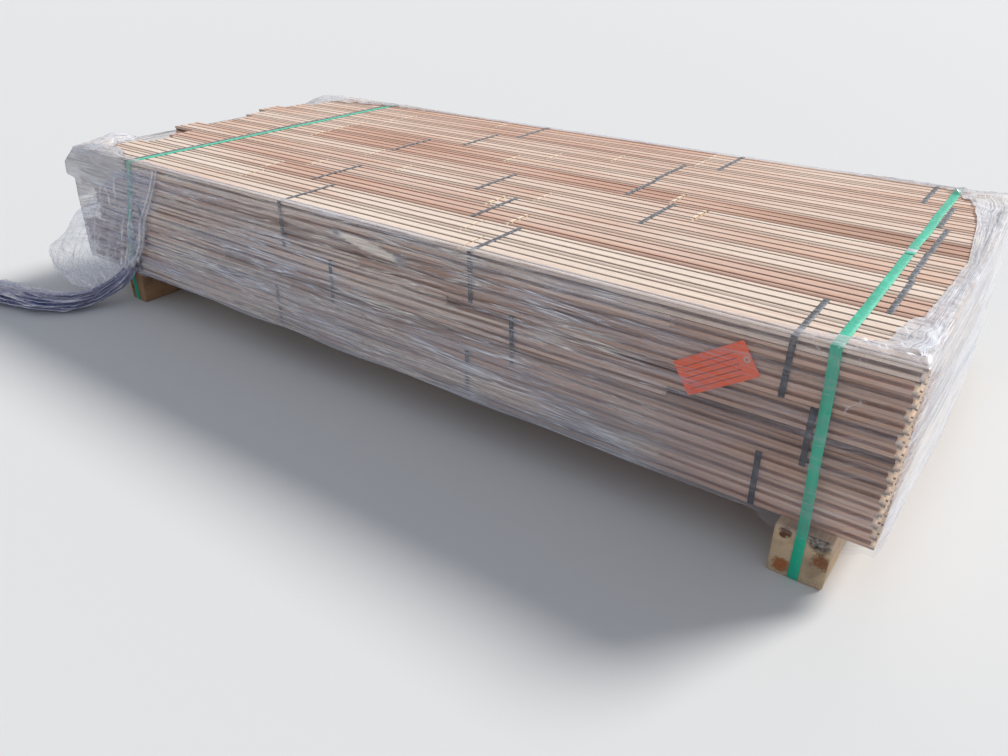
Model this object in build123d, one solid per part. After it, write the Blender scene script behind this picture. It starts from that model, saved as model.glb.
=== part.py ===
from build123d import *
import os

os.makedirs("parts", exist_ok=True)

# All lengths are in millimetres. While the unit is built, X runs along the boards from the
# loose end of the wrap, Y runs across from the front face, and Z is up from the ground.

# Board: tongue and groove strip, lying on its wear face with its relieved underside up.
board_thickness = 19.05
board_cover = 76.2
edge_play = 0.2
layer_play = 0.1
tongue_reach = 5.8
tongue_thickness = 6.0
groove_depth = 6.4
groove_height = 6.4
under_lip = 5.6
under_set_back = 0.8
relief_count = 3
relief_width = 6.0
relief_floor = 4.4
relief_depth = 2.4
relief_first = 16.0
relief_pitch = 24.0
end_play = 0.4

# Bundle: boards nested side by side and in layers, held by its own thin straps.
boards_across = 2
layers_high = 5
bundle_strap_width = 9.5
bundle_strap_thickness = 0.5
bundle_strap_play = 0.05
bundle_strap_return = 4.0

# Unit: bundles side by side and in levels, on two bunks.
unit_length = 1985.0
bundles_across = 6
bundle_side_gap = 1.0
bundle_level_gap = 1.3
level_names = ["bottom", "middle", "top"]
bunk_height = 89.0
bunk_right_width = 84.0
bunk_right_inset = 91.0
bunk_right_overhang = 20.0
bunk_left_width = 60.0
bunk_left_centre = 144.0
bunk_left_overhang = 2.0
bunk_length_over = 6.0
bunk_edge_break = 4.0

# Unit straps: flat bands over the stack and under the bunks.
unit_strap_width = 16.0
unit_strap_thickness = 0.9
unit_strap_play = 0.1
strap_lap_length = 42.0
strap_lap_centre = 448.0

strap_right_top_inset = 110.0
strap_right_foot_inset = 93.0
strap_left_top = 240.0
strap_left_foot = 138.0
strap_dent = 1.1

# Wrap: stretched film round the four sides, turned in over the top edges.
film_thickness = 0.4
film_play = 0.15
film_skirt = 13.0
film_lip_front = 14.0
film_lip_back = 18.0
film_lip_end = 85.0
film_end_play = 1.5
film_left = -58.0
film_scallop = 50.0
film_scallop_shares = [0.35, 0.7]
tent_reach = 46.0

# Gathered tail of the wrap: for each cut its X, Y and Z, its width, height and heading, from
# the front of the wrap, which sets the first cut's Y, to the ground.
tail_seat_play = 0.3
tail_roundness = 0.45
tail_cuts = [
    (164, 0, 100, 30, 34, 270),
    (148, -26, 80, 34, 40, 240),
    (112, -62, 46, 50, 46, 238),
    (72, -132, 27, 76, 50, 225),
    (-10, -182, 26, 92, 46, 200),
    (-190, -226, 24, 108, 42, 192),
    (-345, -249, 20, 84, 32, 190),
]

# Card tag held under the wrap.
tag_length = 120.0
tag_height = 58.0
tag_thickness = 0.3
tag_inset = 265.0
tag_centre_z = 297.0
tag_tilt = 33.0
eyelet_outer = 5.0
eyelet_inner = 2.6
eyelet_inset = 8.0

# Where the rows end at the loose end of the wrap: the top layer's rows from front to back, and
# the front row of each level from the bottom up. Other rows step through a set spread.
top_row_left_ends = [-8, 40, 75, 49, -40, 10, 12, -20, -56, -22, 18, 18]
front_level_left_ends = [-55, 34, -24]
front_layer_stagger = 4
hidden_left_end = -20.0
hidden_row_step = 37
hidden_layer_step = 23
hidden_spread = 60
# The other ends are nearly flush.
right_end_row_step = 5
right_end_layer_step = 3
right_end_spread = 7
# Where two boards meet end to end in each row of the top layer, and in the front row of the
# layers below, as shares of the length.
top_row_joints = [
    [0.625], [0.278, 0.596], [0.266, 0.621], [0.302, 0.567],
    [0.403, 0.6], [0.322, 0.756], [0.18, 0.715], [0.178, 0.478],
    [0.179, 0.514], [0.2, 0.583], [0.206, 0.674], [0.353, 0.674],
]
front_joint_shares = [0.28, 0.83, 0.72, 0.61, 0.5, 0.39]
# Where each bundle's own straps sit along it, front bundle to back bundle: the first is set off
# from the left bunk or unit strap, the next two are shares of the length, the last is set off
# from the right bunk or unit strap.
strap_places = {
    "bottom": [(7.0, 0.3657, 0.6312, 51.0)] + [(36.0, 0.3829, 0.6549, 22.0)] * 5,
    "middle": [(-10.0, 0.4554, 0.6816, -14.0)] + [(10.0, 0.4332, 0.67, 25.0)] * 5,
    "top": [
        (4.0, 0.3884, 0.6363, -61.0), (3.0, 0.3526, 0.5778, 25.0), (4.5, 0.5224, 0.7184, 20.0),
        (3.5, 0.3275, 0.6625, 25.0), (4.0, 0.3829, 0.6605, 9.0), (3.0, 0.4131, 0.7003, -47.0),
    ],
}

board_body = board_cover - edge_play
groove_top = board_thickness - under_lip
groove_bottom = groove_top - groove_height
tongue_play = (groove_height - tongue_thickness) / 2
tongue_top = groove_top - tongue_play
tongue_bottom = tongue_top - tongue_thickness
layer_pitch = board_thickness + layer_play
bundle_width = boards_across * board_cover
bundle_height = layers_high * layer_pitch - layer_play
bundle_pitch = bundle_width + bundle_side_gap
level_pitch = bundle_height + bundle_level_gap
levels = len(level_names)
layers = levels * layers_high
stack_width = bundles_across * bundle_pitch - bundle_side_gap
bunk_length = stack_width + bunk_length_over
bunk_right_centre = unit_length - bunk_right_inset
strap_right_top = unit_length - strap_right_top_inset
strap_right_foot = unit_length - strap_right_foot_inset
stack_back = stack_width - edge_play + tongue_reach
stack_top = bunk_height + levels * level_pitch - bundle_level_gap
unit_strap_stand_off = bundle_strap_play + bundle_strap_thickness + unit_strap_play
film_front = unit_strap_stand_off + unit_strap_thickness + film_play
film_top = stack_top + unit_strap_play + 2 * unit_strap_thickness + film_play


def board_section(relieved):
    """The board's cross-section on the YZ plane, with its front lips at Y = 0."""
    reliefs = []
    slope = (relief_width - relief_floor) / 2
    for k in reversed(range(relief_count if relieved else 0)):
        centre = relief_first + k * relief_pitch
        floor = board_thickness - relief_depth
        reliefs += [
            (centre + relief_width / 2, board_thickness),
            (centre + relief_width / 2 - slope, floor),
            (centre - relief_width / 2 + slope, floor),
            (centre - relief_width / 2, board_thickness),
        ]
    points = [
        (0, 0),
        (board_body, 0),
        (board_body, tongue_bottom),
        (board_body + tongue_reach, tongue_bottom),
        (board_body + tongue_reach, tongue_top),
        (board_body - under_set_back, tongue_top),
        (board_body - under_set_back, board_thickness),
        *reliefs,
        (under_set_back, board_thickness),
        (under_set_back, groove_top),
        (groove_depth, groove_top),
        (groove_depth, groove_bottom),
        (0, groove_bottom),
    ]
    return make_face(Plane.YZ * Polyline(*points, close=True))


def block(x0, x1, y0, y1, z0, z1):
    """A plain block between two corners."""
    return Pos((x0 + x1) / 2, (y0 + y1) / 2, (z0 + z1) / 2) * Box(x1 - x0, y1 - y0, z1 - z0)


def board(x0, x1, relieved, end_matched):
    """One board from x0 to x1; a matched one has a tongue at x0 and a groove at x1."""
    piece = Pos(x0, 0, 0) * extrude(board_section(relieved), amount=x1 - x0)
    if not end_matched:
        return piece
    y0, y1 = -edge_play, board_cover + tongue_reach
    piece -= block(x0 - end_play, x0 + tongue_reach, y0, y1, tongue_top, board_thickness + end_play)
    piece -= block(x0 - end_play, x0 + tongue_reach, y0, y1, -end_play, tongue_bottom)
    piece -= block(x1 - groove_depth, x1 + end_play, y0, y1, groove_bottom, groove_top)
    return piece


def left_end(row, layer):
    """Where a row ends at the loose end: random lengths leave each row a little different."""
    if layer == layers - 1:
        return top_row_left_ends[row % len(top_row_left_ends)]
    level = layer // layers_high
    if row == 0:
        stagger = front_layer_stagger * (layer % boards_across)
        return front_level_left_ends[level % len(front_level_left_ends)] + stagger
    return hidden_left_end + (row * hidden_row_step + layer * hidden_layer_step) % hidden_spread


def right_end(row, layer):
    """The other end, where the rows are tapped nearly flush."""
    return unit_length - (row * right_end_row_step + layer * right_end_layer_step) % right_end_spread


def row_joints(row, layer):
    """Where boards meet end to end in a row; only the rows that show are made up of pieces."""
    if layer == layers - 1:
        joint_shares = top_row_joints[row % len(top_row_joints)]
    elif row == 0:
        joint_shares = [front_joint_shares[layer % len(front_joint_shares)]]
    else:
        joint_shares = []
    return [unit_length * share for share in joint_shares]


def row_boards(row, layer):
    """The boards of one row, laid end to end."""
    shows = layer == layers - 1 or row == 0
    step_in = end_play - tongue_reach if shows else end_play
    cuts = row_joints(row, layer)
    starts = [left_end(row, layer)] + [cut + step_in for cut in cuts]
    ends = cuts + [right_end(row, layer)]
    relieved = layer == layers - 1
    return [board(start, end, relieved, shows) for start, end in zip(starts, ends)]


def bundle(level, column):
    """Ten rows of boards, two across and five high, nested tongue in groove."""
    boards = []
    for layer in range(layers_high):
        for across in range(boards_across):
            y = column * bundle_pitch + across * board_cover
            z = bunk_height + level * level_pitch + layer * layer_pitch
            row = column * boards_across + across
            for piece in row_boards(row, level * layers_high + layer):
                boards.append(Pos(0, y, z) * piece)
    return boards


def bundle_strap(level, column, x):
    """A thin strap round one bundle. Between bundles it is pressed in among the tongues and
    can't be seen, so a side that faces another bundle has only the short returns to it."""
    t = bundle_strap_thickness
    y0 = column * bundle_pitch - bundle_strap_play
    y1 = column * bundle_pitch + bundle_width - edge_play + bundle_strap_play
    if column == bundles_across - 1:
        y1 += tongue_reach
    z0 = bunk_height + level * level_pitch - bundle_strap_play
    z1 = z0 + bundle_height + 2 * bundle_strap_play
    x1 = x + bundle_strap_width
    ring = block(x, x1, y0 - t, y1 + t, z0 - t, z1 + t) - block(x - t, x1 + t, y0, y1, z0, z1)
    near_y, far_y = y0 + bundle_strap_return, y1 - bundle_strap_return
    low, high = z0 + bundle_strap_return, z1 - bundle_strap_return
    hidden = {
        "front": (column > 0, (y0 - 2 * t, y0 + t, low, high)),
        "back": (column < bundles_across - 1, (y1 - t, y1 + 2 * t, low, high)),
        "under": (level > 0, (near_y, far_y, z0 - 2 * t, z0 + t)),
        "over": (level < levels - 1, (near_y, far_y, z1 - t, z1 + 2 * t)),
    }
    for out_of_sight, span in hidden.values():
        if out_of_sight:
            ring -= block(x - t, x1 + t, *span)
    return max(ring.solids(), key=lambda solid: solid.volume)


def bundle_strap_places(level_name, column):
    """Where a bundle's straps begin along it. The lowest straps keep clear of the bunks, the
    others of the unit straps' places on top."""
    first, second, third, last = strap_places[level_name][column]
    if level_name == level_names[0]:
        left = bunk_left_centre + bunk_left_width / 2 + first
        right = bunk_right_centre - bunk_right_width / 2 - last
    else:
        left = strap_left_top - unit_strap_width / 2 - bundle_strap_width - first
        right = strap_right_top + last
    return [left, unit_length * second, unit_length * third, right]


def bunk(centre, width, overhang, strap_foot):
    """A sawn timber under the stack, its underside dented by the unit strap."""
    x0 = centre - width / 2
    timber = block(x0, x0 + width, -overhang, bunk_length - overhang, 0, bunk_height)
    timber = chamfer(timber.edges().filter_by(Axis.Y), bunk_edge_break)
    side = unit_strap_width / 2 + unit_strap_play
    over = bunk_edge_break
    dent = block(
        strap_foot - side, strap_foot + side, -overhang - over, bunk_length - overhang + over,
        -over, strap_dent,
    )
    return timber - dent


def strap_run(plane, across, up, start, end):
    """A straight run of strap: its cut end, drawn on a plane at start, pushed to end."""
    step = Vector(*end) - Vector(*start)
    cut = Pos(*start) * (plane * Rectangle(across, up))
    return extrude(cut, amount=step.length, dir=step)


def unit_strap(top_x, foot_x, overhang, lap):
    """A flat strap over the stack, down to the ends of a bunk and under it."""
    t, w = unit_strap_thickness, unit_strap_width
    top_z = stack_top + unit_strap_play + t / 2
    foot_z = strap_dent - t / 2 - unit_strap_play / 2
    front_y = -unit_strap_stand_off - t / 2
    back_y = stack_back + unit_strap_stand_off + t / 2
    bunk_front_y = -overhang - unit_strap_play - t / 2
    bunk_back_y = bunk_length - overhang + unit_strap_play + t / 2
    front = [
        (top_x, front_y, top_z - t / 2),
        (foot_x, bunk_front_y, bunk_height),
        (foot_x, bunk_front_y, foot_z + t / 2),
    ]
    back = [
        (foot_x, bunk_back_y, foot_z + t / 2),
        (foot_x, max(back_y, bunk_back_y), bunk_height),
        (top_x, back_y, top_z - t / 2),
    ]
    over = [(top_x, front_y - t / 2, top_z), (top_x, back_y + t / 2, top_z)]
    under = [(foot_x, bunk_front_y - t / 2, foot_z), (foot_x, bunk_back_y + t / 2, foot_z)]
    strap = strap_run(Plane.XZ, w, t, *over) + strap_run(Plane.XZ, w, t, *under)
    for corners in (front, back):
        for start, end in zip(corners, corners[1:]):
            strap += strap_run(Plane.XY, w, t, start, end)
    if lap:
        y0, y1 = strap_lap_centre - strap_lap_length / 2, strap_lap_centre + strap_lap_length / 2
        strap += block(top_x - w / 2, top_x + w / 2, y0, y1, top_z + t / 2, top_z + 3 * t / 2)
    return strap


def solid_from(corners, faces):
    """A solid with flat faces, each given by the numbers of its corners in turn."""
    sides = [Face(Wire.make_polygon([corners[k] for k in face])) for face in faces]
    return Solid(Shell(sides))


def tent(top_x, foot_x, foot_width, overhang, grow, low_z):
    """Where a unit strap pushes the film out: a wedge that is flush with the wrap's front at
    the top and stands out as far as the bunk's end at the bunk's height."""
    share = (film_top - low_z) / (film_top - bunk_height)
    flat = -film_front - grow
    top_side = unit_strap_width / 2 + film_play
    side = top_side + (foot_width - unit_strap_width) / 2 * share
    x = top_x + (foot_x - top_x) * share
    y = flat - overhang * share
    spread = tent_reach * share
    corners = [
        (top_x - top_side, flat, film_top), (top_x + top_side, flat, film_top),
        (x - side - spread, flat, low_z), (x - side, y, low_z),
        (x + side, y, low_z), (x + side + spread, flat, low_z),
    ]
    return solid_from(corners, [(0, 3, 4, 1), (0, 2, 3), (1, 4, 5), (0, 1, 5, 2), (2, 5, 4, 3)])


def wrap_body(grow, low_z, high_z):
    """The room inside the wrap from low_z to high_z, spread by grow."""
    x0, x1 = film_left - grow, unit_length + film_end_play + grow
    y0, y1 = -film_front - grow, stack_back + film_front + grow
    body = block(x0, x1, y0, y1, low_z, high_z)
    body += tent(
        strap_right_top, bunk_right_centre, bunk_right_width, bunk_right_overhang, grow, low_z,
    )
    body += tent(
        strap_left_top, bunk_left_centre, bunk_left_width, bunk_left_overhang, grow, low_z,
    )
    return body


def film_wrap():
    """Stretched film round the four sides, with a lip over three of the top's edges."""
    z0 = bunk_height - film_skirt
    wrap = wrap_body(film_thickness, z0, film_top + film_thickness)
    wrap -= wrap_body(0, z0 - film_skirt, film_top)
    x0 = film_left - 2 * film_thickness
    y0, y1 = film_lip_front, stack_back - film_lip_back
    x1 = unit_length - film_lip_end
    points = [(x0, y0), (x1, y0)]
    points += [(x1 + film_scallop, y0 + (y1 - y0) * share) for share in film_scallop_shares]
    points += [(x1, y1), (x0, y1)]
    mouth = make_face(Polyline(*points, close=True))
    return wrap - Pos(0, 0, film_top - film_thickness) * extrude(mouth, amount=3 * film_thickness)


def tail_cut(x, y, z, width, height, heading):
    """The corners of an eight-sided cut through the gathered film, square to its heading."""
    along = Vector(1, 0, 0).rotate(Axis.Z, heading)
    plane = Plane(origin=(x, y, z), x_dir=along.rotate(Axis.Z, 90), z_dir=along)
    w, h = width / 2, height / 2
    cut_w, cut_h = w * tail_roundness, h * tail_roundness
    upper = [(w, cut_h), (cut_w, h), (-cut_w, h), (-w, cut_h)]
    lower = [(-w, -cut_h), (-cut_w, -h), (cut_w, -h), (w, -cut_h)]
    return [tuple(plane.from_local_coords(point)) for point in upper + lower]


def film_tail():
    """The wrap's loose end, gathered into a thick rope that runs down to the ground."""
    first, *rest = tail_cuts
    seat_y = -film_front - bunk_left_overhang - film_thickness - tail_seat_play
    cuts = [tail_cut(first[0], seat_y, *first[2:])] + [tail_cut(*cut) for cut in rest]
    sides = len(cuts[0])
    corners = [corner for cut in cuts for corner in cut]
    last = len(corners) - sides
    faces = [tuple(range(sides)), tuple(range(last, last + sides))]
    for start in range(0, last, sides):
        for k in range(sides):
            a, b = start + k, start + (k + 1) % sides
            faces += [(a, b, b + sides), (a, b + sides, a + sides)]
    return solid_from(corners, faces)


def tag():
    """A card tag with a hole near one end, tilted under the wrap."""
    card = Rectangle(tag_length, tag_height)
    hole = Pos(tag_length / 2 - eyelet_inset, 0) * Circle(eyelet_inner)
    outline = Plane.XZ * (Rot(0, 0, tag_tilt) * (card - hole))
    front = -unit_strap_play - bundle_strap_thickness
    return Pos(unit_length - tag_inset, front, tag_centre_z) * extrude(outline, amount=tag_thickness)


def eyelet():
    """The metal ring that lines the tag's hole."""
    ring = Circle(eyelet_outer) - Circle(eyelet_inner)
    place = Plane.XZ * (Rot(0, 0, tag_tilt) * (Pos(tag_length / 2 - eyelet_inset, 0) * ring))
    front = -unit_strap_play - bundle_strap_thickness - tag_thickness
    return Pos(unit_length - tag_inset, front, tag_centre_z) * extrude(place, amount=tag_thickness)


parts = {}
for level, level_name in enumerate(level_names):
    for column in range(bundles_across):
        name = f"{level_name}_bundle_{column + 1}"
        parts[name] = bundle(level, column)
        buried = 0 < column < bundles_across - 1 and 0 < level < levels - 1
        if not buried:
            places = bundle_strap_places(level_name, column)
            parts[f"{name}_straps"] = [bundle_strap(level, column, x) for x in places]

parts["bunk_right"] = [
    bunk(bunk_right_centre, bunk_right_width, bunk_right_overhang, strap_right_foot)
]
parts["bunk_left"] = [
    bunk(bunk_left_centre, bunk_left_width, bunk_left_overhang, strap_left_foot)
]
parts["unit_strap_right"] = [
    unit_strap(strap_right_top, strap_right_foot, bunk_right_overhang, True)
]
parts["unit_strap_left"] = [
    unit_strap(strap_left_top, strap_left_foot, bunk_left_overhang, False)
]
parts["film_wrap"] = [film_wrap()]
parts["film_tail"] = [film_tail()]
parts["tag"] = [tag()]
parts["tag_eyelet"] = [eyelet()]

whole = Compound(children=[solid for solids in parts.values() for solid in solids]).bounding_box()
origin = Vector(whole.center().X, whole.center().Y, 0)
for name, solids in parts.items():
    export_step(Pos(-origin) * Compound(children=solids), f"parts/{name}.step")
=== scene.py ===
"""Looks of a strapped and wrapped unit of oak flooring boards on two bunks.

Every shape is worked out in the unit's own measures: X along the boards from the loose end of
the wrap, Y across from the front face, Z up from the floor, in metres. Each piece is then set
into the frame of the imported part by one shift, found from the right bunk.
"""
from collections import namedtuple
from functools import partial, reduce
import math
import bpy
import numpy as np
from mathutils import Matrix, Vector


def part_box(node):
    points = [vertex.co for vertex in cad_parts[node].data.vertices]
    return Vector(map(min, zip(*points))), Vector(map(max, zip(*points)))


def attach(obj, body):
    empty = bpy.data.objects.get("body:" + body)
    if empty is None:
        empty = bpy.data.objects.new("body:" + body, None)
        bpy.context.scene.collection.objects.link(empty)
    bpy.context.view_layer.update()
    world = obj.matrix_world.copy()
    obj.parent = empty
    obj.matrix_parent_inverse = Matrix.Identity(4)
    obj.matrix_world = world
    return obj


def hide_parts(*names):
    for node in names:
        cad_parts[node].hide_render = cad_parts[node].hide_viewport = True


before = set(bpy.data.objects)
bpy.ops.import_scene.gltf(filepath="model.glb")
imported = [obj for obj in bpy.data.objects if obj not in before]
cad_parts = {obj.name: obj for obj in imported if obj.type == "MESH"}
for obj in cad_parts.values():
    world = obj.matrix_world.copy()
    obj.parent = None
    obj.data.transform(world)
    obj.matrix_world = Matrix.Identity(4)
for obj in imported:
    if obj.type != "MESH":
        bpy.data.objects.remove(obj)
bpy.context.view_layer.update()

MM = 0.001

# Board, in metres.
THICK = 19.05 * MM
COVER = 76.2 * MM
EDGE_PLAY = 0.2 * MM
TONGUE = 5.8 * MM
TONGUE_BOTTOM, TONGUE_TOP = 7.25 * MM, 13.25 * MM
GROOVE_BOTTOM, GROOVE_TOP = 7.05 * MM, 13.45 * MM
GROOVE_DEPTH = 6.4 * MM
UNDER_SET_BACK = 0.8 * MM
RELIEF_CENTRES = [16 * MM, 40 * MM, 64 * MM]
RELIEF_WIDTH, RELIEF_FLOOR, RELIEF_DEPTH = 6.0 * MM, 4.4 * MM, 2.4 * MM
LAYER_GAP = 0.1 * MM
LAYER_PITCH = THICK + LAYER_GAP
EASE = 0.35 * MM

# Unit.
LENGTH = 1985 * MM
BUNDLES = 6
ACROSS = 2
LAYERS_HIGH = 5
LEVELS = ["bottom", "middle", "top"]
BUNDLE_GAP, LEVEL_GAP = 1.0 * MM, 1.3 * MM
BUNDLE_PITCH = ACROSS * COVER + BUNDLE_GAP
LEVEL_PITCH = LAYERS_HIGH * LAYER_PITCH - LAYER_GAP + LEVEL_GAP
BUNK_HEIGHT = 89 * MM
STACK_TOP = BUNK_HEIGHT + len(LEVELS) * LEVEL_PITCH - LEVEL_GAP
STACK_BACK = BUNDLES * BUNDLE_PITCH - BUNDLE_GAP - EDGE_PLAY + TONGUE

# Each bunk: its centre along the boards, its width, how far its front end is out from the
# stack, its length, where its unit strap crosses the top edge and its own foot, and how far
# from its centre the film's skirt starts to turn in.
Bunk = namedtuple("Bunk", "centre width overhang length strap_top strap_foot skirt_clear")
right_low, right_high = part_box("bunk_right")
left_low, left_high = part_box("bunk_left")
RIGHT = Bunk(LENGTH - 91 * MM, 84 * MM, 20 * MM, right_high.y - right_low.y,
             LENGTH - 110 * MM, LENGTH - 93 * MM, 70 * MM)
LEFT = Bunk(144 * MM, 60 * MM, 2 * MM, left_high.y - left_low.y, 240 * MM, 138 * MM, 60 * MM)
STRAP_WIDTH = 16 * MM

SHIFT = np.array([
    (right_low.x + right_high.x) / 2 - RIGHT.centre, right_low.y + RIGHT.overhang, 0])


# Meshes

def build_piece(name, points, face_sets, uv=None, vectors=None, numbers=None, smooth=True):
    """A mesh object from unit points and sets of faces; each set has faces of one size. uv is
    given per point; vectors and numbers are named values per point that the materials read."""
    loops = np.concatenate([np.asarray(f).ravel() for f in face_sets]).astype(np.int32)
    sizes = np.concatenate([np.full(len(f), np.shape(f)[1]) for f in face_sets])
    starts = np.concatenate([[0], np.cumsum(sizes)[:-1]]).astype(np.int32)
    mesh = bpy.data.meshes.new(name)
    mesh.vertices.add(len(points))
    mesh.vertices.foreach_set("co", (points + SHIFT).astype(np.float32).ravel())
    mesh.loops.add(len(loops))
    mesh.loops.foreach_set("vertex_index", loops)
    mesh.polygons.add(len(sizes))
    mesh.polygons.foreach_set("loop_start", starts)
    mesh.polygons.foreach_set("use_smooth", np.full(len(sizes), smooth))
    mesh.update(calc_edges=True)
    if uv is not None:
        layer = mesh.uv_layers.new(name="surface")
        layer.data.foreach_set("uv", np.asarray(uv)[loops].astype(np.float32).ravel())
    for kind, field, named in (("FLOAT_VECTOR", "vector", vectors), ("FLOAT", "value", numbers)):
        for label, values in (named or {}).items():
            attribute = mesh.attributes.new(label, kind, "POINT")
            attribute.data.foreach_set(field, np.asarray(values).astype(np.float32).ravel())
    mesh.validate()
    piece = bpy.data.objects.new(name, mesh)
    bpy.context.scene.collection.objects.link(piece)
    return piece


def finish_piece(piece, material, slot, *nodes):
    """Gives a piece its material and its place in the part."""
    piece.data.materials.clear()
    piece.data.materials.append(material)
    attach(piece, "root")
    if nodes:
        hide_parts(*nodes)
    return piece


def grid_quads(rows, columns, first=0, close_columns=False, close_rows=False):
    """Faces of a grid of points numbered row by row; a closed direction joins its last line
    to its first."""
    r = np.arange(rows if close_rows else rows - 1)
    c = np.arange(columns if close_columns else columns - 1)
    r, c = np.meshgrid(r, c, indexing="ij")
    r, c = r.ravel(), c.ravel()
    r1, c1 = (r + 1) % rows, (c + 1) % columns
    return first + np.stack(
        [r * columns + c, r * columns + c1, r1 * columns + c1, r1 * columns + c], 1
    )


def sines(points, wavelength, seed, waves=7):
    """Smooth noise of about -1 to 1: a sum of sine waves in random directions, each about the
    wavelength long."""
    draw = np.random.default_rng(seed)
    points = np.asarray(points, float)
    directions = draw.normal(size=(waves, points.shape[-1]))
    directions /= np.linalg.norm(directions, axis=1)[:, None]
    lengths = wavelength * draw.uniform(0.6, 1.5, waves)
    phases = draw.uniform(0, 2 * np.pi, waves)
    angles = points @ (directions / lengths[:, None]).T * 2 * np.pi + phases
    return np.sin(angles).sum(-1) / math.sqrt(waves)


def folds(points, wavelength, seed):
    """Creased noise from 0 to 1: sharp ridges where smooth noise passes through zero."""
    first = 1 - np.abs(sines(points, wavelength, seed)).clip(0, 1)
    second = 1 - np.abs(sines(points, wavelength * 0.43, seed + 1)).clip(0, 1)
    return first ** 2 * 0.7 + second ** 2 * 0.3


def ramp(value, start, reach):
    """0 up to a start, then rising evenly to 1 over a reach; a negative reach goes down."""
    return ((value - start) / reach).clip(0, 1)


def eased(corners, ease=EASE):
    """A profile whose corners are each cut by a small bevel: every corner becomes two points,
    one on each of its sides."""
    corners = np.asarray(corners, float)
    back = np.roll(corners, 1, 0) - corners
    ahead = np.roll(corners, -1, 0) - corners
    back_length = np.linalg.norm(back, axis=1)[:, None]
    ahead_length = np.linalg.norm(ahead, axis=1)[:, None]
    one = corners + back / back_length * np.minimum(ease, back_length * 0.4)
    two = corners + ahead / ahead_length * np.minimum(ease, ahead_length * 0.4)
    return np.stack([one, two], 1).reshape(-1, 2)


# Boards

def relief_corners():
    """The three relief grooves' corners, from the back edge to the front one."""
    slope = (RELIEF_WIDTH - RELIEF_FLOOR) / 2
    corners = []
    for centre in reversed(RELIEF_CENTRES):
        corners += [
            (centre + RELIEF_WIDTH / 2, THICK),
            (centre + RELIEF_WIDTH / 2 - slope, THICK - RELIEF_DEPTH),
            (centre - RELIEF_WIDTH / 2 + slope, THICK - RELIEF_DEPTH),
            (centre - RELIEF_WIDTH / 2, THICK),
        ]
    return corners


BODY = COVER - EDGE_PLAY
UNDER_BACK = BODY - UNDER_SET_BACK
JOINT_LINE = 1.2 * MM
BACK_EDGE = [
    (0, 0), (BODY, 0), (BODY, TONGUE_BOTTOM), (BODY + TONGUE, TONGUE_BOTTOM),
    (BODY + TONGUE, TONGUE_TOP), (UNDER_BACK, TONGUE_TOP), (UNDER_BACK, THICK),
]
FULL_PROFILE = eased([
    *BACK_EDGE, *relief_corners(), (UNDER_SET_BACK, THICK), (UNDER_SET_BACK, THICK - JOINT_LINE),
    (UNDER_SET_BACK, GROOVE_TOP), (GROOVE_DEPTH, GROOVE_TOP),
    (GROOVE_DEPTH, GROOVE_BOTTOM), (0, GROOVE_BOTTOM), (0, JOINT_LINE),
])
# One board of the front has lost its upper lip.
SPLIT_PROFILE = eased([
    *BACK_EDGE, *relief_corners()[:-4], (GROOVE_DEPTH, THICK), (GROOVE_DEPTH, GROOVE_BOTTOM),
    (0, GROOVE_BOTTOM), (0, JOINT_LINE),
])
SPLIT_LAYER = 7
UPPER_LIP = eased([
    (UNDER_SET_BACK, GROOVE_TOP), (UNDER_BACK, GROOVE_TOP), (UNDER_BACK, THICK),
    *relief_corners(), (UNDER_SET_BACK, THICK),
])
LOWER_LIP = eased([(0, 0), (BODY, 0), (BODY, GROOVE_BOTTOM), (0, GROOVE_BOTTOM)])
END_TONGUE = eased([
    (GROOVE_DEPTH, TONGUE_BOTTOM), (BODY + TONGUE, TONGUE_BOTTOM),
    (BODY + TONGUE, TONGUE_TOP), (GROOVE_DEPTH, TONGUE_TOP),
])


def shaded_in_groove(profile):
    """1 for the profile's points that lie in a relief groove, in the side groove or on the front
    corners where one layer meets the next: the places that get painted shade."""
    y, z = profile[:, 0], profile[:, 1]
    relief = (z > THICK - RELIEF_DEPTH - EASE) & (z < THICK - EASE * 1.5)
    inside = (y > UNDER_SET_BACK + 2 * EASE) & (y < UNDER_BACK - 2 * EASE)
    side = (y < GROOVE_DEPTH + EASE) & (y > UNDER_SET_BACK + 2 * EASE) & (z > GROOVE_BOTTOM - EASE)
    corner = (y < UNDER_SET_BACK + 1.5 * EASE) & ((z < 1.5 * EASE) | (z > THICK - 1.5 * EASE))
    return ((relief & inside) | side | corner).astype(float)


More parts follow.
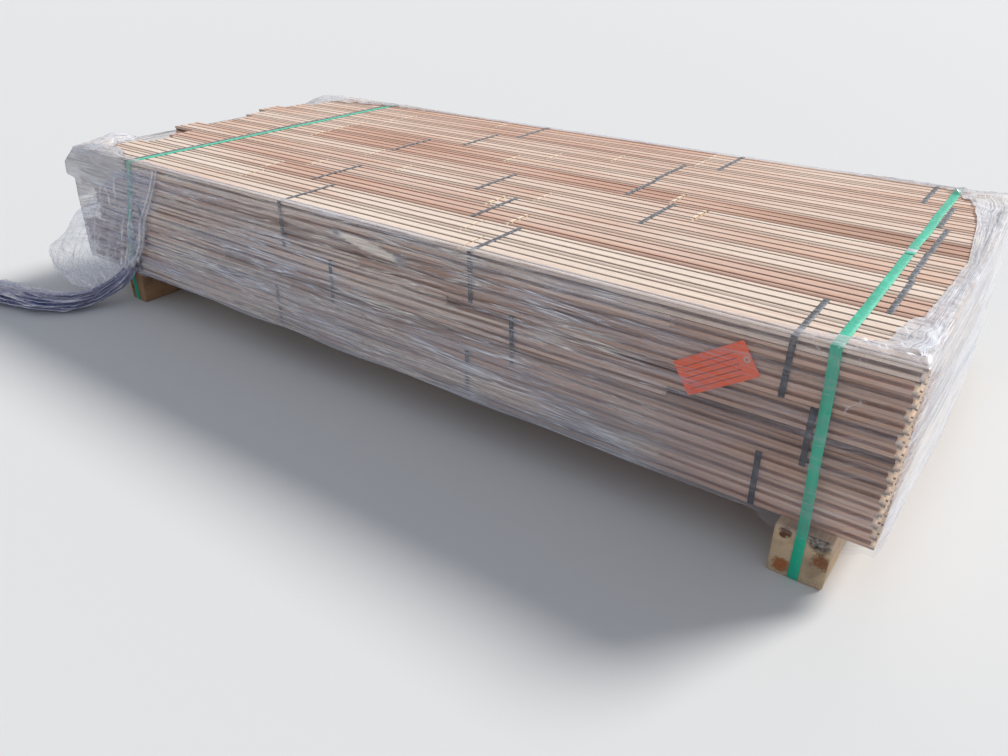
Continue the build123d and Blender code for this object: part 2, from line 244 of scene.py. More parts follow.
class Boards:
    """Gathers the boards of one bundle into one mesh."""

    def __init__(self):
        self.points, self.places, self.tones, self.hollow, self.quads = [], [], [], [], []
        self.caps = {}
        self.count = 0

    def add(self, profile, x0, x1, step, corner, sway, place, tone):
        """A length of profile from x0 to x1, swayed by the board's own bend."""
        sections = max(2, int(math.ceil((x1 - x0) / step)) + 1)
        x = np.linspace(x0, x1, sections)
        dy, dz = sway(x)
        n = len(profile)
        points = np.empty((sections, n, 3))
        points[..., 0] = x[:, None]
        points[..., 1] = corner[0] + profile[None, :, 0] + dy[:, None]
        points[..., 2] = corner[1] + profile[None, :, 1] + dz[:, None]
        local = np.empty_like(points)
        local[..., 0] = x[:, None]
        local[..., 1] = profile[None, :, 0]
        local[..., 2] = profile[None, :, 1]
        self.points.append(points.reshape(-1, 3))
        self.places.append(local.reshape(-1, 3) + place)
        self.tones.append(np.tile(tone, (sections * n, 1)))
        self.hollow.append(np.tile(shaded_in_groove(profile), sections))
        self.quads.append(grid_quads(sections, n, self.count, close_columns=True))
        first = self.count + np.arange(n)[::-1]
        last = self.count + (sections - 1) * n + np.arange(n)
        self.caps.setdefault(n, []).extend([first, last])
        self.count += sections * n

    def build(self, name):
        """The bundle's piece."""
        return build_piece(
            name, np.concatenate(self.points),
            [np.concatenate(self.quads)] + [np.array(c) for c in self.caps.values()],
            vectors={"grain_at": np.concatenate(self.places), "tone": np.concatenate(self.tones)},
            numbers={"hollow": np.concatenate(self.hollow)}, smooth=False,
        )


# In mm along the boards: where each row of the top layer ends at the loose end, the same for
# the front of each level, and where boards meet end to end in the rows of the top layer.
TOP_ROW_LEFT_ENDS = [-8, 40, 75, 49, -40, 10, 12, -20, -56, -22, 18, 18]
FRONT_LEVEL_LEFT_ENDS = [-55, 34, -24]
TOP_ROW_JOINTS = [
    [1240], [552, 1184], [529, 1233], [600, 1125], [800, 1191], [640, 1500],
    [357, 1420], [353, 949], [355, 1021], [397, 1157], [408, 1338], [700, 1337],
]
# Where the front's boards meet, layer by layer in turn, as a share of the length.
FRONT_JOINT_SHARES = [0.28, 0.83, 0.72, 0.61, 0.5, 0.39]
TOP_LAYER = len(LEVELS) * LAYERS_HIGH - 1
# How pale and how red the boards of the top rows are, piece by piece from the loose end.
TOP_TONES = [
    [(0.92, 0.15), (0.95, 0.10)], [(0.95, 0.05), (0.85, 0.30), (0.95, 0.10)],
    [(0.85, 0.15), (0.68, 0.80), (0.70, 0.70)], [(0.62, 0.70), (0.70, 0.50), (0.85, 0.20)],
    [(0.75, 0.35), (0.80, 0.35), (0.80, 0.15)], [(0.80, 0.15), (0.70, 0.40), (0.75, 0.05)],
    [(0.75, 0.30), (0.52, 0.80), (0.50, 0.55)], [(0.75, 0.30), (0.55, 0.80), (0.70, 0.25)],
    [(0.75, 0.25), (0.80, 0.25), (0.75, 0.10)], [(0.75, 0.25), (0.75, 0.30), (0.65, 0.30)],
    [(0.75, 0.15), (0.62, 0.55), (0.70, 0.05)], [(0.75, 0.20), (0.65, 0.40), (0.70, 0.10)],
]


def left_end(row, layer):
    """Where a row ends at the loose end of the wrap."""
    if layer == TOP_LAYER:
        return TOP_ROW_LEFT_ENDS[row] * MM
    if row == 0:
        return (FRONT_LEVEL_LEFT_ENDS[layer // LAYERS_HIGH] + 4 * (layer % 2)) * MM
    return (-20 + (row * 37 + layer * 23) % 60) * MM


def right_end(row, layer):
    """The other end, tapped nearly flush."""
    return LENGTH - (row * 5 + layer * 3) % 7 * MM


def row_joints(row, layer):
    """Where boards meet end to end in a row that shows."""
    if layer == TOP_LAYER:
        return [x * MM for x in TOP_ROW_JOINTS[row]]
    if row == 0:
        return [LENGTH * FRONT_JOINT_SHARES[layer % len(FRONT_JOINT_SHARES)]]
    return []


def bend(draw, amount):
    """A board's own bend: two slow sine waves along it, sideways and up and down."""
    phase = draw.uniform(0, 2 * np.pi, 4)
    length = draw.uniform([1.1, 0.35, 1.1, 0.35], [2.2, 0.7, 2.2, 0.7])

    def sway(x):
        waves = np.sin(x[:, None] / length * 2 * np.pi + phase) * (0.6, 0.4, 0.6, 0.4)
        return waves[:, :2].sum(1) * amount[0], waves[:, 2:].sum(1) * amount[1]

    return sway


def straight(x):
    """No bend at all."""
    return x * 0, x * 0


def board_tone(draw, row, layer, piece, near_end, split):
    """How pale a board is, how red, and how much painted shade lies in its grooves; 2 for the last
    marks the lips at a board's near end, which get painted light. On the front the boards at the
    near end are dull, and all the boards of the bottom level are paler."""
    if layer == TOP_LAYER:
        pale, red = TOP_TONES[row][min(piece, len(TOP_TONES[row]) - 1)]
        dark = draw.uniform(0.75, 1.0)
    else:
        pale, red, dark = draw.uniform(0.38, 0.95), draw.uniform(0.0, 0.5), draw.uniform(0, 0.7)
        if row == 0 and near_end:
            pale, red, dark = pale * 0.42, red * 0.3, dark * 0.5
    if layer < LAYERS_HIGH:
        pale += 0.2
    return pale + draw.uniform(-0.05, 0.05), red, 1.0 if split else dark


def bundle_piece(level, column):
    """One bundle: ten rows of boards, the ones that show made up of pieces and a little bent."""
    gathered = Boards()
    for deep, across in np.ndindex(LAYERS_HIGH, ACROSS):
        layer, row = level * LAYERS_HIGH + deep, column * ACROSS + across
        on_top, in_front = layer == TOP_LAYER, row == 0
        draw = np.random.default_rng(1000 + layer * 40 + row)
        y = column * BUNDLE_PITCH + across * COVER
        z = BUNK_HEIGHT + level * LEVEL_PITCH + deep * LAYER_PITCH
        joints = row_joints(row, layer)
        gaps = draw.uniform(1.6, 5.0, len(joints)) if on_top else np.full(len(joints), 0.6)
        starts = [left_end(row, layer)] + [x + gap * MM - TONGUE for x, gap in zip(joints, gaps)]
        ends = joints + [right_end(row, layer)]
        for piece, (x0, x1) in enumerate(zip(starts, ends)):
            near_end = piece == len(starts) - 1
            split = in_front and near_end and layer == SPLIT_LAYER
            push = draw.uniform(-0.5, 2.2) * MM if in_front else 0.0
            lift = draw.uniform(-0.15, 0.05) * MM
            amount = (0.35 * MM if in_front else 0.1 * MM, 0.12 * MM)
            sway, step = (bend(draw, amount), 0.05) if on_top or in_front else (straight, 3.0)
            place = draw.uniform(-40, 40, 3)
            tone = board_tone(draw, row, layer, piece, near_end, split)
            # The lips at a board's near end get painted light: a paler tone, no red, and a mark of
            # 2 that lightens them almost to white.
            cut = (tone[0] + 0.4, 0.0, 2.0) if on_top or (in_front and near_end) else tone
            profile = SPLIT_PROFILE if split else FULL_PROFILE
            lips = x1 - GROOVE_DEPTH - 0.2 * MM
            for section, a, b, shade in (
                (profile, x0 + TONGUE, x1 - GROOVE_DEPTH, tone),
                (END_TONGUE, x0, x0 + TONGUE + MM, tone),
                (UPPER_LIP, lips, x1, cut), (LOWER_LIP, lips, x1, cut),
            ):
                gathered.add(section, a, b, step, (y + push, z + lift), sway, place, shade)
    return gathered.build(f"boards_{LEVELS[level]}_{column + 1}")


# Straps

def rounded_path(corners, radius, closed):
    """A path through corners with each bend turned over an arc of about the radius: a corner
    becomes five points on the curve that blends its two sides."""
    corners = np.asarray(corners, float)
    out = []
    total = len(corners)
    for k, corner in enumerate(corners):
        if not closed and k in (0, total - 1):
            out.append(corner[None])
            continue
        back, ahead = corners[k - 1] - corner, corners[(k + 1) % total] - corner
        reach = min(radius, np.linalg.norm(back) * 0.45, np.linalg.norm(ahead) * 0.45)
        a = corner + back / np.linalg.norm(back) * reach
        b = corner + ahead / np.linalg.norm(ahead) * reach
        t = np.linspace(0, 1, 5)[:, None]
        out.append((1 - t) ** 2 * a + 2 * t * (1 - t) * corner + t ** 2 * b)
    return np.concatenate(out)


def refined(path, step, closed):
    """The same path with points at most step apart."""
    ring = np.vstack([path, path[:1]]) if closed else path
    gaps = np.linalg.norm(np.diff(ring, axis=0), axis=1)
    at = np.concatenate([[0], np.cumsum(gaps)])
    extra = np.concatenate([
        np.linspace(a, b, max(1, int(math.ceil(g / step))), endpoint=False)
        for a, b, g in zip(at[:-1], at[1:], gaps)
    ] + ([] if closed else [at[-1:]]))
    return np.stack([np.interp(extra, at, ring[:, k]) for k in range(3)], 1), extra


def band(path, distance, width, thick, closed, wobble, seed):
    """A flat strap carried along a path: its cross-section is a thin rounded bar whose width
    lies along X, and it wanders sideways a little."""
    after, before = np.roll(path, -1, 0), np.roll(path, 1, 0)
    if not closed:
        after[-1], before[0] = path[-1], path[0]
    tangent = after - before
    tangent /= np.linalg.norm(tangent, axis=1)[:, None]
    side = np.array([1.0, 0, 0]) - tangent * tangent[:, :1]
    side /= np.linalg.norm(side, axis=1)[:, None]
    out = np.cross(side, tangent)
    w, h, e = width / 2, thick / 2, thick * 0.3
    section = np.array([
        (-w, -h + e), (-w + e, -h), (0, -h), (w - e, -h), (w, -h + e),
        (w, h - e), (w - e, h), (0, h * 1.15), (-w + e, h), (-w, h - e),
    ])
    drift = sines(distance[:, None], 0.25, seed) * wobble
    rings = (
        path[:, None] + side[:, None] * (section[None, :, :1] + drift[:, None, None])
        + out[:, None] * section[None, :, 1:]
    )
    n = len(section)
    quads = grid_quads(len(path), n, close_columns=True, close_rows=closed)
    faces = [quads[:, ::-1]]
    if not closed:
        faces += [np.arange(n)[None], ((len(path) - 1) * n + np.arange(n))[None, ::-1]]
    uv = np.stack(np.broadcast_arrays(distance[:, None], section[None, :, 0]), -1).reshape(-1, 2)
    return rings.reshape(-1, 3), faces, uv


def join_parts(parts):
    """Several (points, faces, uv) taken together."""
    points, faces, uvs, count = [], [], [], 0
    for part_points, part_faces, part_uv in parts:
        points.append(part_points)
        uvs.append(part_uv)
        faces += [np.asarray(f) + count for f in part_faces]
        count += len(part_points)
    by_size = {}
    for f in faces:
        by_size.setdefault(f.shape[1], []).append(f)
    faces = [np.concatenate(f) for f in by_size.values()]
    return np.concatenate(points), faces, np.concatenate(uvs)


# How far along the boards each bundle strap starts, in mm, bundle by bundle from the front.
STRAP_PLACES = {
    "bottom": [[181, 726, 1253, 1801]] + [[210, 760, 1300, 1830]] * 5,
    "middle": [[232, 904, 1353, 1861]] + [[212, 860, 1330, 1900]] * 5,
    "top": [
        [218.5, 771, 1263, 1814], [219.5, 700, 1147, 1900], [218, 1037, 1426, 1895],
        [219, 650, 1315, 1900], [218.5, 760, 1311, 1884], [219.5, 820, 1390, 1828],
    ],
}


def bundle_straps(level, column):
    """The thin straps of one bundle, on the sides of it that show. Those sides are next to one
    another, so each strap is one open path, with its ends tucked in between the bundles."""
    width, thick, tuck = 9.5 * MM, 0.5 * MM, 4 * MM
    first, last = column == 0, column == BUNDLES - 1
    y0 = column * BUNDLE_PITCH - 0.4 * MM - first * 0.5 * MM
    y1 = column * BUNDLE_PITCH + ACROSS * COVER - EDGE_PLAY + 0.3 * MM + last * TONGUE
    z0 = BUNK_HEIGHT + level * LEVEL_PITCH - 0.3 * MM
    z1 = z0 + LAYERS_HIGH * LAYER_PITCH + 0.5 * MM
    # The front, top, back and underside, each from one corner of the section to the next.
    shows = [first, level == len(LEVELS) - 1, last, level == 0]
    if not any(shows):
        return None
    start = next(side for side in range(4) if shows[side] and not shows[side - 1])
    parts = []
    for k, place in enumerate(STRAP_PLACES[LEVELS[level]][column]):
        draw = np.random.default_rng(level * 100 + column * 10 + k)
        x = place * MM + width / 2
        lean = draw.uniform(-2.5, 2.5) * MM
        corners = np.array([(x, y0, z0), (x + lean, y0, z1), (x + lean * 0.4, y1, z1), (x, y1, z0)])
        runs = corners[[(start + side) % 4 for side in range(sum(shows) + 1)]]
        ends = []
        for end, other in ((0, 1), (-1, -2)):
            axis = np.abs(runs[end] - runs[other])[1:].argmin() + 1
            tucked = runs[end].copy()
            tucked[axis] += np.sign((0, (y0 + y1) / 2, (z0 + z1) / 2)[axis] - tucked[axis]) * tuck
            ends.append(tucked)
        path = rounded_path(np.vstack([ends[0], runs, ends[1]]), 0.9 * MM, False)
        line, distance = refined(path, 0.02, False)
        parts.append(band(line, distance + place, width, thick, False, 0.25 * MM, 10 * column + k))
    points, faces, uv = join_parts(parts)
    return build_piece(f"straps_{LEVELS[level]}_{column + 1}", points, faces, uv=uv)


def unit_strap(name, bunk, lapped):
    """A wide strap right round the stack and the bunk; a lapped one has its tail welded on
    top of itself."""
    thick = 0.9 * MM
    top_z = STACK_TOP + 0.1 * MM + thick / 2
    front_y, back_y = -1.1 * MM, STACK_BACK + 1.1 * MM
    foot_front = -bunk.overhang - 0.1 * MM - thick / 2
    foot_back = bunk.length - bunk.overhang + 0.1 * MM + thick / 2
    foot_z = 0.6 * MM
    lap_y, lap_half = 448 * MM, 21 * MM
    top_x, foot_x = bunk.strap_top, bunk.strap_foot
    corners = [
        (top_x, lap_y, top_z), (top_x, front_y, top_z), (foot_x, foot_front, BUNK_HEIGHT),
        (foot_x, foot_front, foot_z), (foot_x, foot_back, foot_z),
        (foot_x, max(back_y, foot_back), BUNK_HEIGHT), (top_x, back_y, top_z),
    ]
    line, distance = refined(rounded_path(corners, 2.5 * MM, True), 0.03, True)
    parts = [band(line, distance, STRAP_WIDTH, thick, True, 0.6 * MM, 3)]
    if lapped:
        y = np.linspace(lap_y - lap_half, lap_y + lap_half, 43)
        lift = thick * 0.98 + 0.3 * MM * ramp(y, lap_y - 10 * MM, -9 * MM)
        over = np.stack([np.full(len(y), top_x + 0.8 * MM), y, top_z + lift], 1)
        parts.append(
            band(over[::-1], lap_y + lap_half - y, STRAP_WIDTH, thick, False, 0, 5))
    points, faces, uv = join_parts(parts)
    on_lap = (np.abs(points[:, 1] - lap_y) < 30 * MM) & (points[:, 2] > STACK_TOP) & lapped
    weld = ramp(np.abs(points[:, 1] - lap_y - 1 * MM), 8.5 * MM, -1 * MM) * on_lap
    return build_piece(name, points, faces, uv=uv, numbers={"weld": weld})


# Bunks

def bunk_piece(name, bunk, seed):
    """A sawn timber: a box whose long edges are broken, carried along Y, with its faces
    roughened by noise and its ends a little out of square. Each end is a grid of shrinking
    copies of the edge, closed by a fan of triangles."""
    half, middle = np.array([bunk.width, BUNK_HEIGHT]) / 2, BUNK_HEIGHT / 2
    front_y, back_y = -bunk.overhang, bunk.length - bunk.overhang
    t = np.linspace(-1, 1, 26, endpoint=False)
    one = np.ones(len(t))
    ring = np.concatenate([
        np.stack([t, -one], 1), np.stack([one, t], 1), np.stack([-t, one], 1),
        np.stack([-one, -t], 1),
    ]) * half
    # Corners are pulled in to a radius of about 4 mm.
    soft = 4 * MM
    past = np.abs(ring) - (half - soft)
    both = (past > 0).all(1)
    over = np.linalg.norm(past.clip(0), axis=1)
    pull = np.where(both & (over > soft), soft / np.maximum(over, 1e-9), 1.0)
    rounded = np.sign(ring) * (half - soft + past.clip(0) * pull[:, None])
    ring = np.where(both[:, None], rounded, ring)
    shrink = np.linspace(1, 0, 15)[1:-1]
    stations = np.linspace(front_y, back_y, 150)
    scale = np.concatenate([shrink[::-1], np.ones(len(stations)), shrink])[:, None]
    y = np.concatenate([np.full(len(shrink), front_y), stations, np.full(len(shrink), back_y)])
    rows, n = len(y), len(ring)
    points = np.stack(np.broadcast_arrays(
        bunk.centre + ring[:, 0] * scale, y[:, None], middle + ring[:, 1] * scale), -1)
    points = points.reshape(-1, 3)
    on_side = np.repeat(scale == 1, n)
    # Saw marks run up the sides, and the grain is washed out a little along the length.
    rough = sines(points * (60, 8, 60), 1.0, seed) * 0.22 * MM
    rough += sines(points * (260, 40, 260), 1.0, seed + 1) * 0.12 * MM
    toward = (points - (bunk.centre, 0, middle)) * (1, 0, 1)
    toward /= np.maximum(np.linalg.norm(toward, axis=1)[:, None], 1e-6)
    points = points - toward * (np.abs(rough) * on_side)[:, None]
    end_rough = sines(points * 160, 1.0, seed + 2) * 0.35 + sines(points * 600, 1.0, seed + 3) * 0.2
    end_rough = np.abs(end_rough) * MM
    points[:, 1] += np.where(points[:, 1] < front_y + 1e-6, end_rough, 0) - np.where(
        points[:, 1] > back_y - 1e-6, end_rough, 0)
    points[:, 2] = points[:, 2].clip(0, BUNK_HEIGHT)
    # The unit strap runs in a shallow dent across the underside.
    dent = 1.1 * MM
    in_dent = np.abs(points[:, 0] - bunk.strap_foot) < STRAP_WIDTH / 2 + 0.2 * MM
    points[in_dent & (points[:, 2] < dent), 2] = dent
    front_hub, back_hub = len(points), len(points) + 1
    points = np.vstack([points, [bunk.centre, front_y, middle], [bunk.centre, back_y, middle]])
    first = np.arange(n)
    last = (rows - 1) * n + first
    fans = [
        np.stack([np.roll(first, -1), first, np.full(n, front_hub)], 1),
        np.stack([last, np.roll(last, -1), np.full(n, back_hub)], 1),
    ]
    return build_piece(name, points, [grid_quads(rows, n, close_columns=True), *fans])


# Film

# Round the unit, in mm: a point on the wrap's top edge, the point of its inner lip over the
# top, how much the lip crumples and how high it stands.
LIP = np.array([
    (-58, -2, 70, 62, 5, 7), (40, -2, 122, 56, 6, 8), (140, -2, 170, 32, 5, 4),
    (200, -2, 212, 20, 3, 1), (420, -2, 420, 13, 1.2, 0), (800, -2, 800, 15, 1.2, 0),
    (1200, -2, 1200, 12, 1.2, 0), (1600, -2, 1600, 14, 1.2, 0), (1770, -2, 1765, 17, 2, 0),
    (1850, -2, 1845, 26, 4, 1), (1900, -2, 1888, 40, 6, 4), (1950, -2, 1912, 44, 8, 6),
    (1987, -2, 1930, 60, 8, 6), (1987, 60, 1934, 150, 5, 3), (1987, 110, 1948, 166, 3, 1),
    (1987, 250, 1954, 262, 2, 0), (1987, 450, 1962, 440, 2, 0),
    (1987, 650, 1944, 660, 2, 0), (1987, 800, 1924, 790, 4, 1), (1987, 924, 1888, 868, 7, 5),
    (1880, 924, 1850, 900, 5, 3), (1600, 924, 1600, 908, 1.2, 0), (1000, 924, 1000, 909, 1.2, 0),
    (500, 924, 500, 905, 1.5, 0), (300, 924, 250, 890, 4, 3), (120, 924, 140, 866, 6, 7),
    (-58, 924, 36, 842, 5, 5), (-58, 840, -30, 835, 3, 1), (-58, 780, -56, 780, 1, -8),
    (-58, 450, -57, 450, 1, -16), (-58, 230, -56, 230, 1, -8), (-58, 195, -50, 195, 2, 6),
    (-58, 150, -14, 158, 4, 17), (-58, 100, 22, 112, 5, 19), (-58, 50, 52, 82, 5, 14),
    (-58, -2, 70, 62, 5, 7),
], float)
FILM_BACK = 924 * MM
# Heights of the wrap's top edge and of its skirt's edge, and how far the top edge sags where
# the end is loose.
FILM_TOP = STACK_TOP + 2.05 * MM
SKIRT = 80 * MM
SAG = 18 * MM


def tent(x, z):
    """How far a bunk's end and its strap push the film out at the front: a wedge that grows
    from nothing at the top to the bunk's overhang at the bunk's height."""
    share = ((FILM_TOP - z) / (FILM_TOP - BUNK_HEIGHT)).clip(0, 1.05)
    out = np.zeros_like(x)
    for bunk in (RIGHT, LEFT):
        centre = bunk.strap_top + (bunk.centre - bunk.strap_top) * share
        half = STRAP_WIDTH / 2 + (bunk.width - STRAP_WIDTH) / 2 * share
        spread = np.maximum(46 * MM * share, 0.1 * MM)
        slope = (1 - (np.abs(x - centre) - half) / spread).clip(0, 1)
        out = np.maximum(out, bunk.overhang * share * slope * slope * (3 - 2 * slope))
    return out


def end_bulge(y, high):
    """How far the wrap stands off the near end: most towards the back and the bottom."""
    swell = 0.005 + 0.013 * np.sin(np.pi * (y / FILM_BACK).clip(0, 1) ** 1.3)
    return swell * (1 - high ** 3) * ramp(y, 0, 30 * MM)


def drawn_in(x, y, z):
    """How far the wrap is drawn in, or pushed out, along X at the loose end beside the front:
    it follows the ends of the front bundles."""
    pull = np.interp(z, np.array([80, 250, 297, 303, 335, 355, 378]) * MM,
                     np.array([0, 12, 20, -18, -12, 15, 50]) * MM)
    return pull * ramp(x, 0.062, -0.12) * ramp(y, 0.16, -0.10)


def torn_flap(x, z):
    """Where a flap of film lies over the front's upper boards: 1 in a slanting lens and, apart
    from it, 1 at the lens's two dark gathered ends."""
    start, end = np.array([0.940, 0.346]), np.array([1.102, 0.325])
    line = end - start
    length = np.linalg.norm(line)
    along = ((x - start[0]) * line[0] + (z - start[1]) * line[1]) / length
    aside = ((x - start[0]) * line[1] - (z - start[1]) * line[0]) / length
    half = 0.003 + 0.008 * np.sin(np.pi * (along / length).clip(0, 1))
    flap = ((half - np.abs(aside)) / 0.003 + 0.5).clip(0, 1) * (along > 0) * (along < length)
    ends = sum(np.exp(-((along - at) / 0.014) ** 2 - (aside / 0.007) ** 2) for at in (0, length))
    return flap, ends.clip(0, 1)


class Wrap:
    """The wrap by its plan: points along its top edge, each with its point on the lip's inner
    line, how much the lip crumples and rises there, how far its edge sags, and which way is
    out."""

    def __init__(self):
        gaps = np.linalg.norm(np.diff(LIP[:, :2] * MM, axis=0), axis=1)
        at = np.concatenate([[0], np.cumsum(gaps)])
        self.around = np.arange(0, at[-1], 6.8 * MM)
        self.x, self.y, self.lip_x, self.lip_y, self.crumple, self.rise = (
            np.interp(self.around, at, column * MM) for column in LIP.T)
        self.front, self.at_end = self.y < 0, self.x > 1.986
        # Which way is out, by the side of the unit on which a point lies.
        out = np.stack([
            np.where(self.x > 1.98, 1, np.where(self.x < -0.05, -1, 0)),
            np.where(self.front, -1, np.where(self.y > 0.92, 1, 0)),
        ], 1)
        self.out = out / np.linalg.norm(out, axis=1)[:, None]
        # The edge sags along the middle of the loose end, and runs softly into its corners.
        sags = (self.x < -0.05) & (self.y > 0.12) & (self.y < 0.82)
        window = np.hanning(25) / np.hanning(25).sum()
        self.sag = SAG * np.convolve(np.pad(sags * 1.0, 12, mode="wrap"), window, "valid")
        # Where the lip hardly crumples its folds run along the edge.
        self.wild = ramp(self.crumple, 2.5 * MM, 3.5 * MM)

    def side(self, z):
        """One row of points round the sides, at a height: fine ripples, then the near end's
        swelling, the loose end drawn in and the tents over the bunks, and the skirt turned a
        little in under the boards."""
        p = np.stack([self.x, self.y, np.full(len(self.x), z)], 1)
        high = (z - SKIRT) / (FILM_TOP - SKIRT)
        under = max(0.0, 1 - (z - SKIRT) / (BUNK_HEIGHT - SKIRT))
        ripple = sines(p * (1.6, 1.6, 40), 1.0, 21) * 0.5 + sines(p * (7, 7, 120), 1.0, 22) * 0.3
        ripple = np.abs(ripple) * 0.9 * MM * np.where(self.at_end, 1.6, 1.0)
        clear = ~self.at_end
        for bunk in (RIGHT, LEFT):
            clear &= np.abs(self.x - bunk.centre) > bunk.skirt_clear
        turned_in = np.where(clear, 5 * MM, 0) * under ** 1.5
        p[:, 0] += np.where(self.at_end, end_bulge(self.y, high), 0)
        p[:, 0] += drawn_in(self.x, self.y, z)
        p[:, 1] -= np.where(self.front, tent(self.x, p[:, 2]), 0)
        p[:, :2] += self.out * (ripple - turned_in)[:, None]
        p[:, 2] += 1.2 * MM * sines(self.around[:, None], 0.35, 23) * under
        p[:, 2] -= self.sag * high ** 4
        return p

    def lip(self, share):
        """One row of points a share of the way in from the top edge to the lip's inner line:
        it rises in an arch, and folds and small waves are laid on that."""
        across = np.stack([self.lip_x - self.x, self.lip_y - self.y], 1)
        p = np.empty((len(self.x), 3))
        p[:, :2] = np.stack([self.x, self.y], 1) + across * share
        p[:, 0] += drawn_in(self.x, self.y, FILM_TOP) * (1 - share)
        p[:, 2] = FILM_TOP + 0.4 * MM
        flat = p * (1, 1, 0)
        round_in = min(1.0, share * 9)
        along = np.stack([self.around * 0.25, np.hypot(*across.T) * share], 1)
        crossing = folds(flat, 0.075, 31) + 0.3 * folds(flat, 0.028, 33)
        noise = crossing * self.wild + (1 - self.wild) * (folds(along, 0.022, 32) + 0.3)
        lift = self.rise * np.sin(min(1.0, share * 1.15) * np.pi)
        lift = lift + self.crumple * (noise - 0.2) * round_in
        edge = self.crumple * 2.5 * max(0.0, share - 0.8) * sines(flat, 0.03, 35)
        p[:, 2] += np.maximum(lift + edge, -0.3 * MM) - self.sag
        wander = (self.crumple * (0.25 + 0.65 * self.wild))[:, None] * round_in
        p[:, :2] += wander * np.stack([sines(p, 0.08, 36), sines(p, 0.08, 37)], 1)
        return p

    def marks(self, height, on_side):
        """What the film's material reads: how much it is crumpled, how milky it is, with more film
        and with painted light, how taut it is pulled, and where the flap and the dark gathered
        edges lie, the cord and the band being painted shade."""
        x, front = self.x, self.front * on_side
        flecks = np.exp(-((x - 1.930) / 0.050) ** 2 - ((height - 0.300) / 0.022) ** 2)
        loose = (self.crumple / (6 * MM)).clip(0, 1) * ramp(height, 0.335, 0.05)
        loose = np.maximum(loose, 0.75 * flecks * self.front)
        # More layers of film lie over the near end, the loose end and low on the front; over the
        # near end the film is also painted whiter towards the back, as painted light shining
        # through it.
        near = 0.1 + 0.6 * ramp(self.y, 0.01, 0.16) + 0.3 * ramp(self.y, 0, FILM_BACK)
        milk_and_light = np.where(self.at_end, near, np.where(x < -0.05, 0.4, 0.0))
        low = 0.65 * ramp(height, 0.27, -0.12) * ramp(x, 1.85, -0.25) * ramp(x, 0.26, 0.1)
        # A milky band lies over the upper layers beside the loose end.
        band = ramp(height - 0.36 * (x - 0.035), 0.275, 0.006) * ramp(x, 0.225, -0.03)
        milk_and_light = np.maximum(milk_and_light, np.maximum(low, 0.5 * band) * self.front)
        lip = (self.crumple / (13 * MM) + 0.5 * self.at_end).clip(0.1, 0.9)
        milk_and_light = np.where(on_side, milk_and_light, np.maximum(milk_and_light, lip))
        # The skirt's edge is drawn up into a cord, darkened with painted shade.
        cord = ramp(height, 86 * MM, -5 * MM) * (x < 1.80)
        flap, ends = torn_flap(x, height)
        # The band is darkened a little too, as painted shade.
        gathered = np.maximum(ends * on_side, np.maximum(0.32 * band, 0.35 * cord))
        # The wrap is smoothest over the front's near end.
        taut = np.where(self.front, 1 - 0.65 * ramp(x, 1.48, 0.22), 1.0)
        return {"crumple": 0.12 + 0.88 * loose, "milk_and_light": milk_and_light, "taut": taut,
                "flap": flap * front, "gathered": gathered * self.front}


def film_skin():
    """The stretched wrap. One way of the grid goes round the unit, the other goes from the
    skirt up the side, over the top edge and in to the lip."""
    wrap = Wrap()
    heights = np.concatenate([
        np.linspace(SKIRT, FILM_TOP - 6 * MM, 70), FILM_TOP - np.array([4, 2.2, 1, 0.3]) * MM])
    shares = np.linspace(0, 1, 17) ** 1.15
    grid = np.stack([wrap.side(z) for z in heights] + [wrap.lip(share) for share in shares])
    up = np.concatenate([heights, FILM_TOP + shares * 60 * MM])[:, None]
    on_side = np.arange(len(up))[:, None] < len(heights)
    size = grid.shape[:2]
    uv = np.stack(np.broadcast_arrays(wrap.around, up), -1)
    return build_piece(
        "film_around_stack", grid.reshape(-1, 3), [grid_quads(*size, close_columns=True)],
        uv=uv.reshape(-1, 2),
        numbers={name: np.broadcast_to(values, size).ravel()
                 for name, values in wrap.marks(up, on_side).items()},
    )


def cubic_rows(net, count, axis):
    """Points of a control net spread along one axis by a Catmull-Rom curve."""
    net = np.moveaxis(np.asarray(net, float), axis, 0)
    n = len(net)
    at = np.linspace(0, n - 1, count)
    k = np.minimum(at.astype(int), n - 2)
    t = (at - k).reshape((-1,) + (1,) * (net.ndim - 1))
    p0, p1 = net[np.maximum(k - 1, 0)], net[k]
    p2, p3 = net[k + 1], net[np.minimum(k + 2, n - 1)]
    out = 0.5 * (2 * p1 + (p2 - p0) * t + (2 * p0 - 5 * p1 + 4 * p2 - p3) * t ** 2
                 + (3 * p1 - p0 - 3 * p2 + p3) * t ** 3)
    return np.moveaxis(out, 0, axis)


# Net of the loose outer layer, in mm: rows from its upper edge down to where it is gathered,
# columns from its free fold on the front to its outer edge.
CURTAIN = np.array([
    [(364, -3, 377), (300, -3, 370), (230, -4, 358), (170, -4, 340), (120, -5, 314),
     (73, -6, 288)],
    [(340, -4, 335), (270, -5, 320), (195, -7, 304), (130, -9, 286), (75, -10, 266),
     (15, -11, 245)],
    [(307, -5, 287), (235, -8, 270), (160, -12, 252), (90, -17, 234), (25, -19, 217),
     (-48, -21, 203)],
    [(270, -5, 240), (195, -10, 217), (120, -18, 192), (40, -27, 175), (-35, -32, 162),
     (-98, -37, 148)],
    [(248, -6, 185), (170, -14, 158), (95, -30, 132), (10, -42, 112), (-85, -46, 100),
     (-186, -46, 92)],
    [(215, -9, 140), (150, -24, 110), (95, -48, 82), (20, -62, 66), (-75, -66, 57),
     (-176, -58, 66)],
    [(168, -12, 112), (146, -32, 84), (116, -58, 58), (78, -84, 46), (20, -94, 38),
     (-110, -72, 36)],
], float)

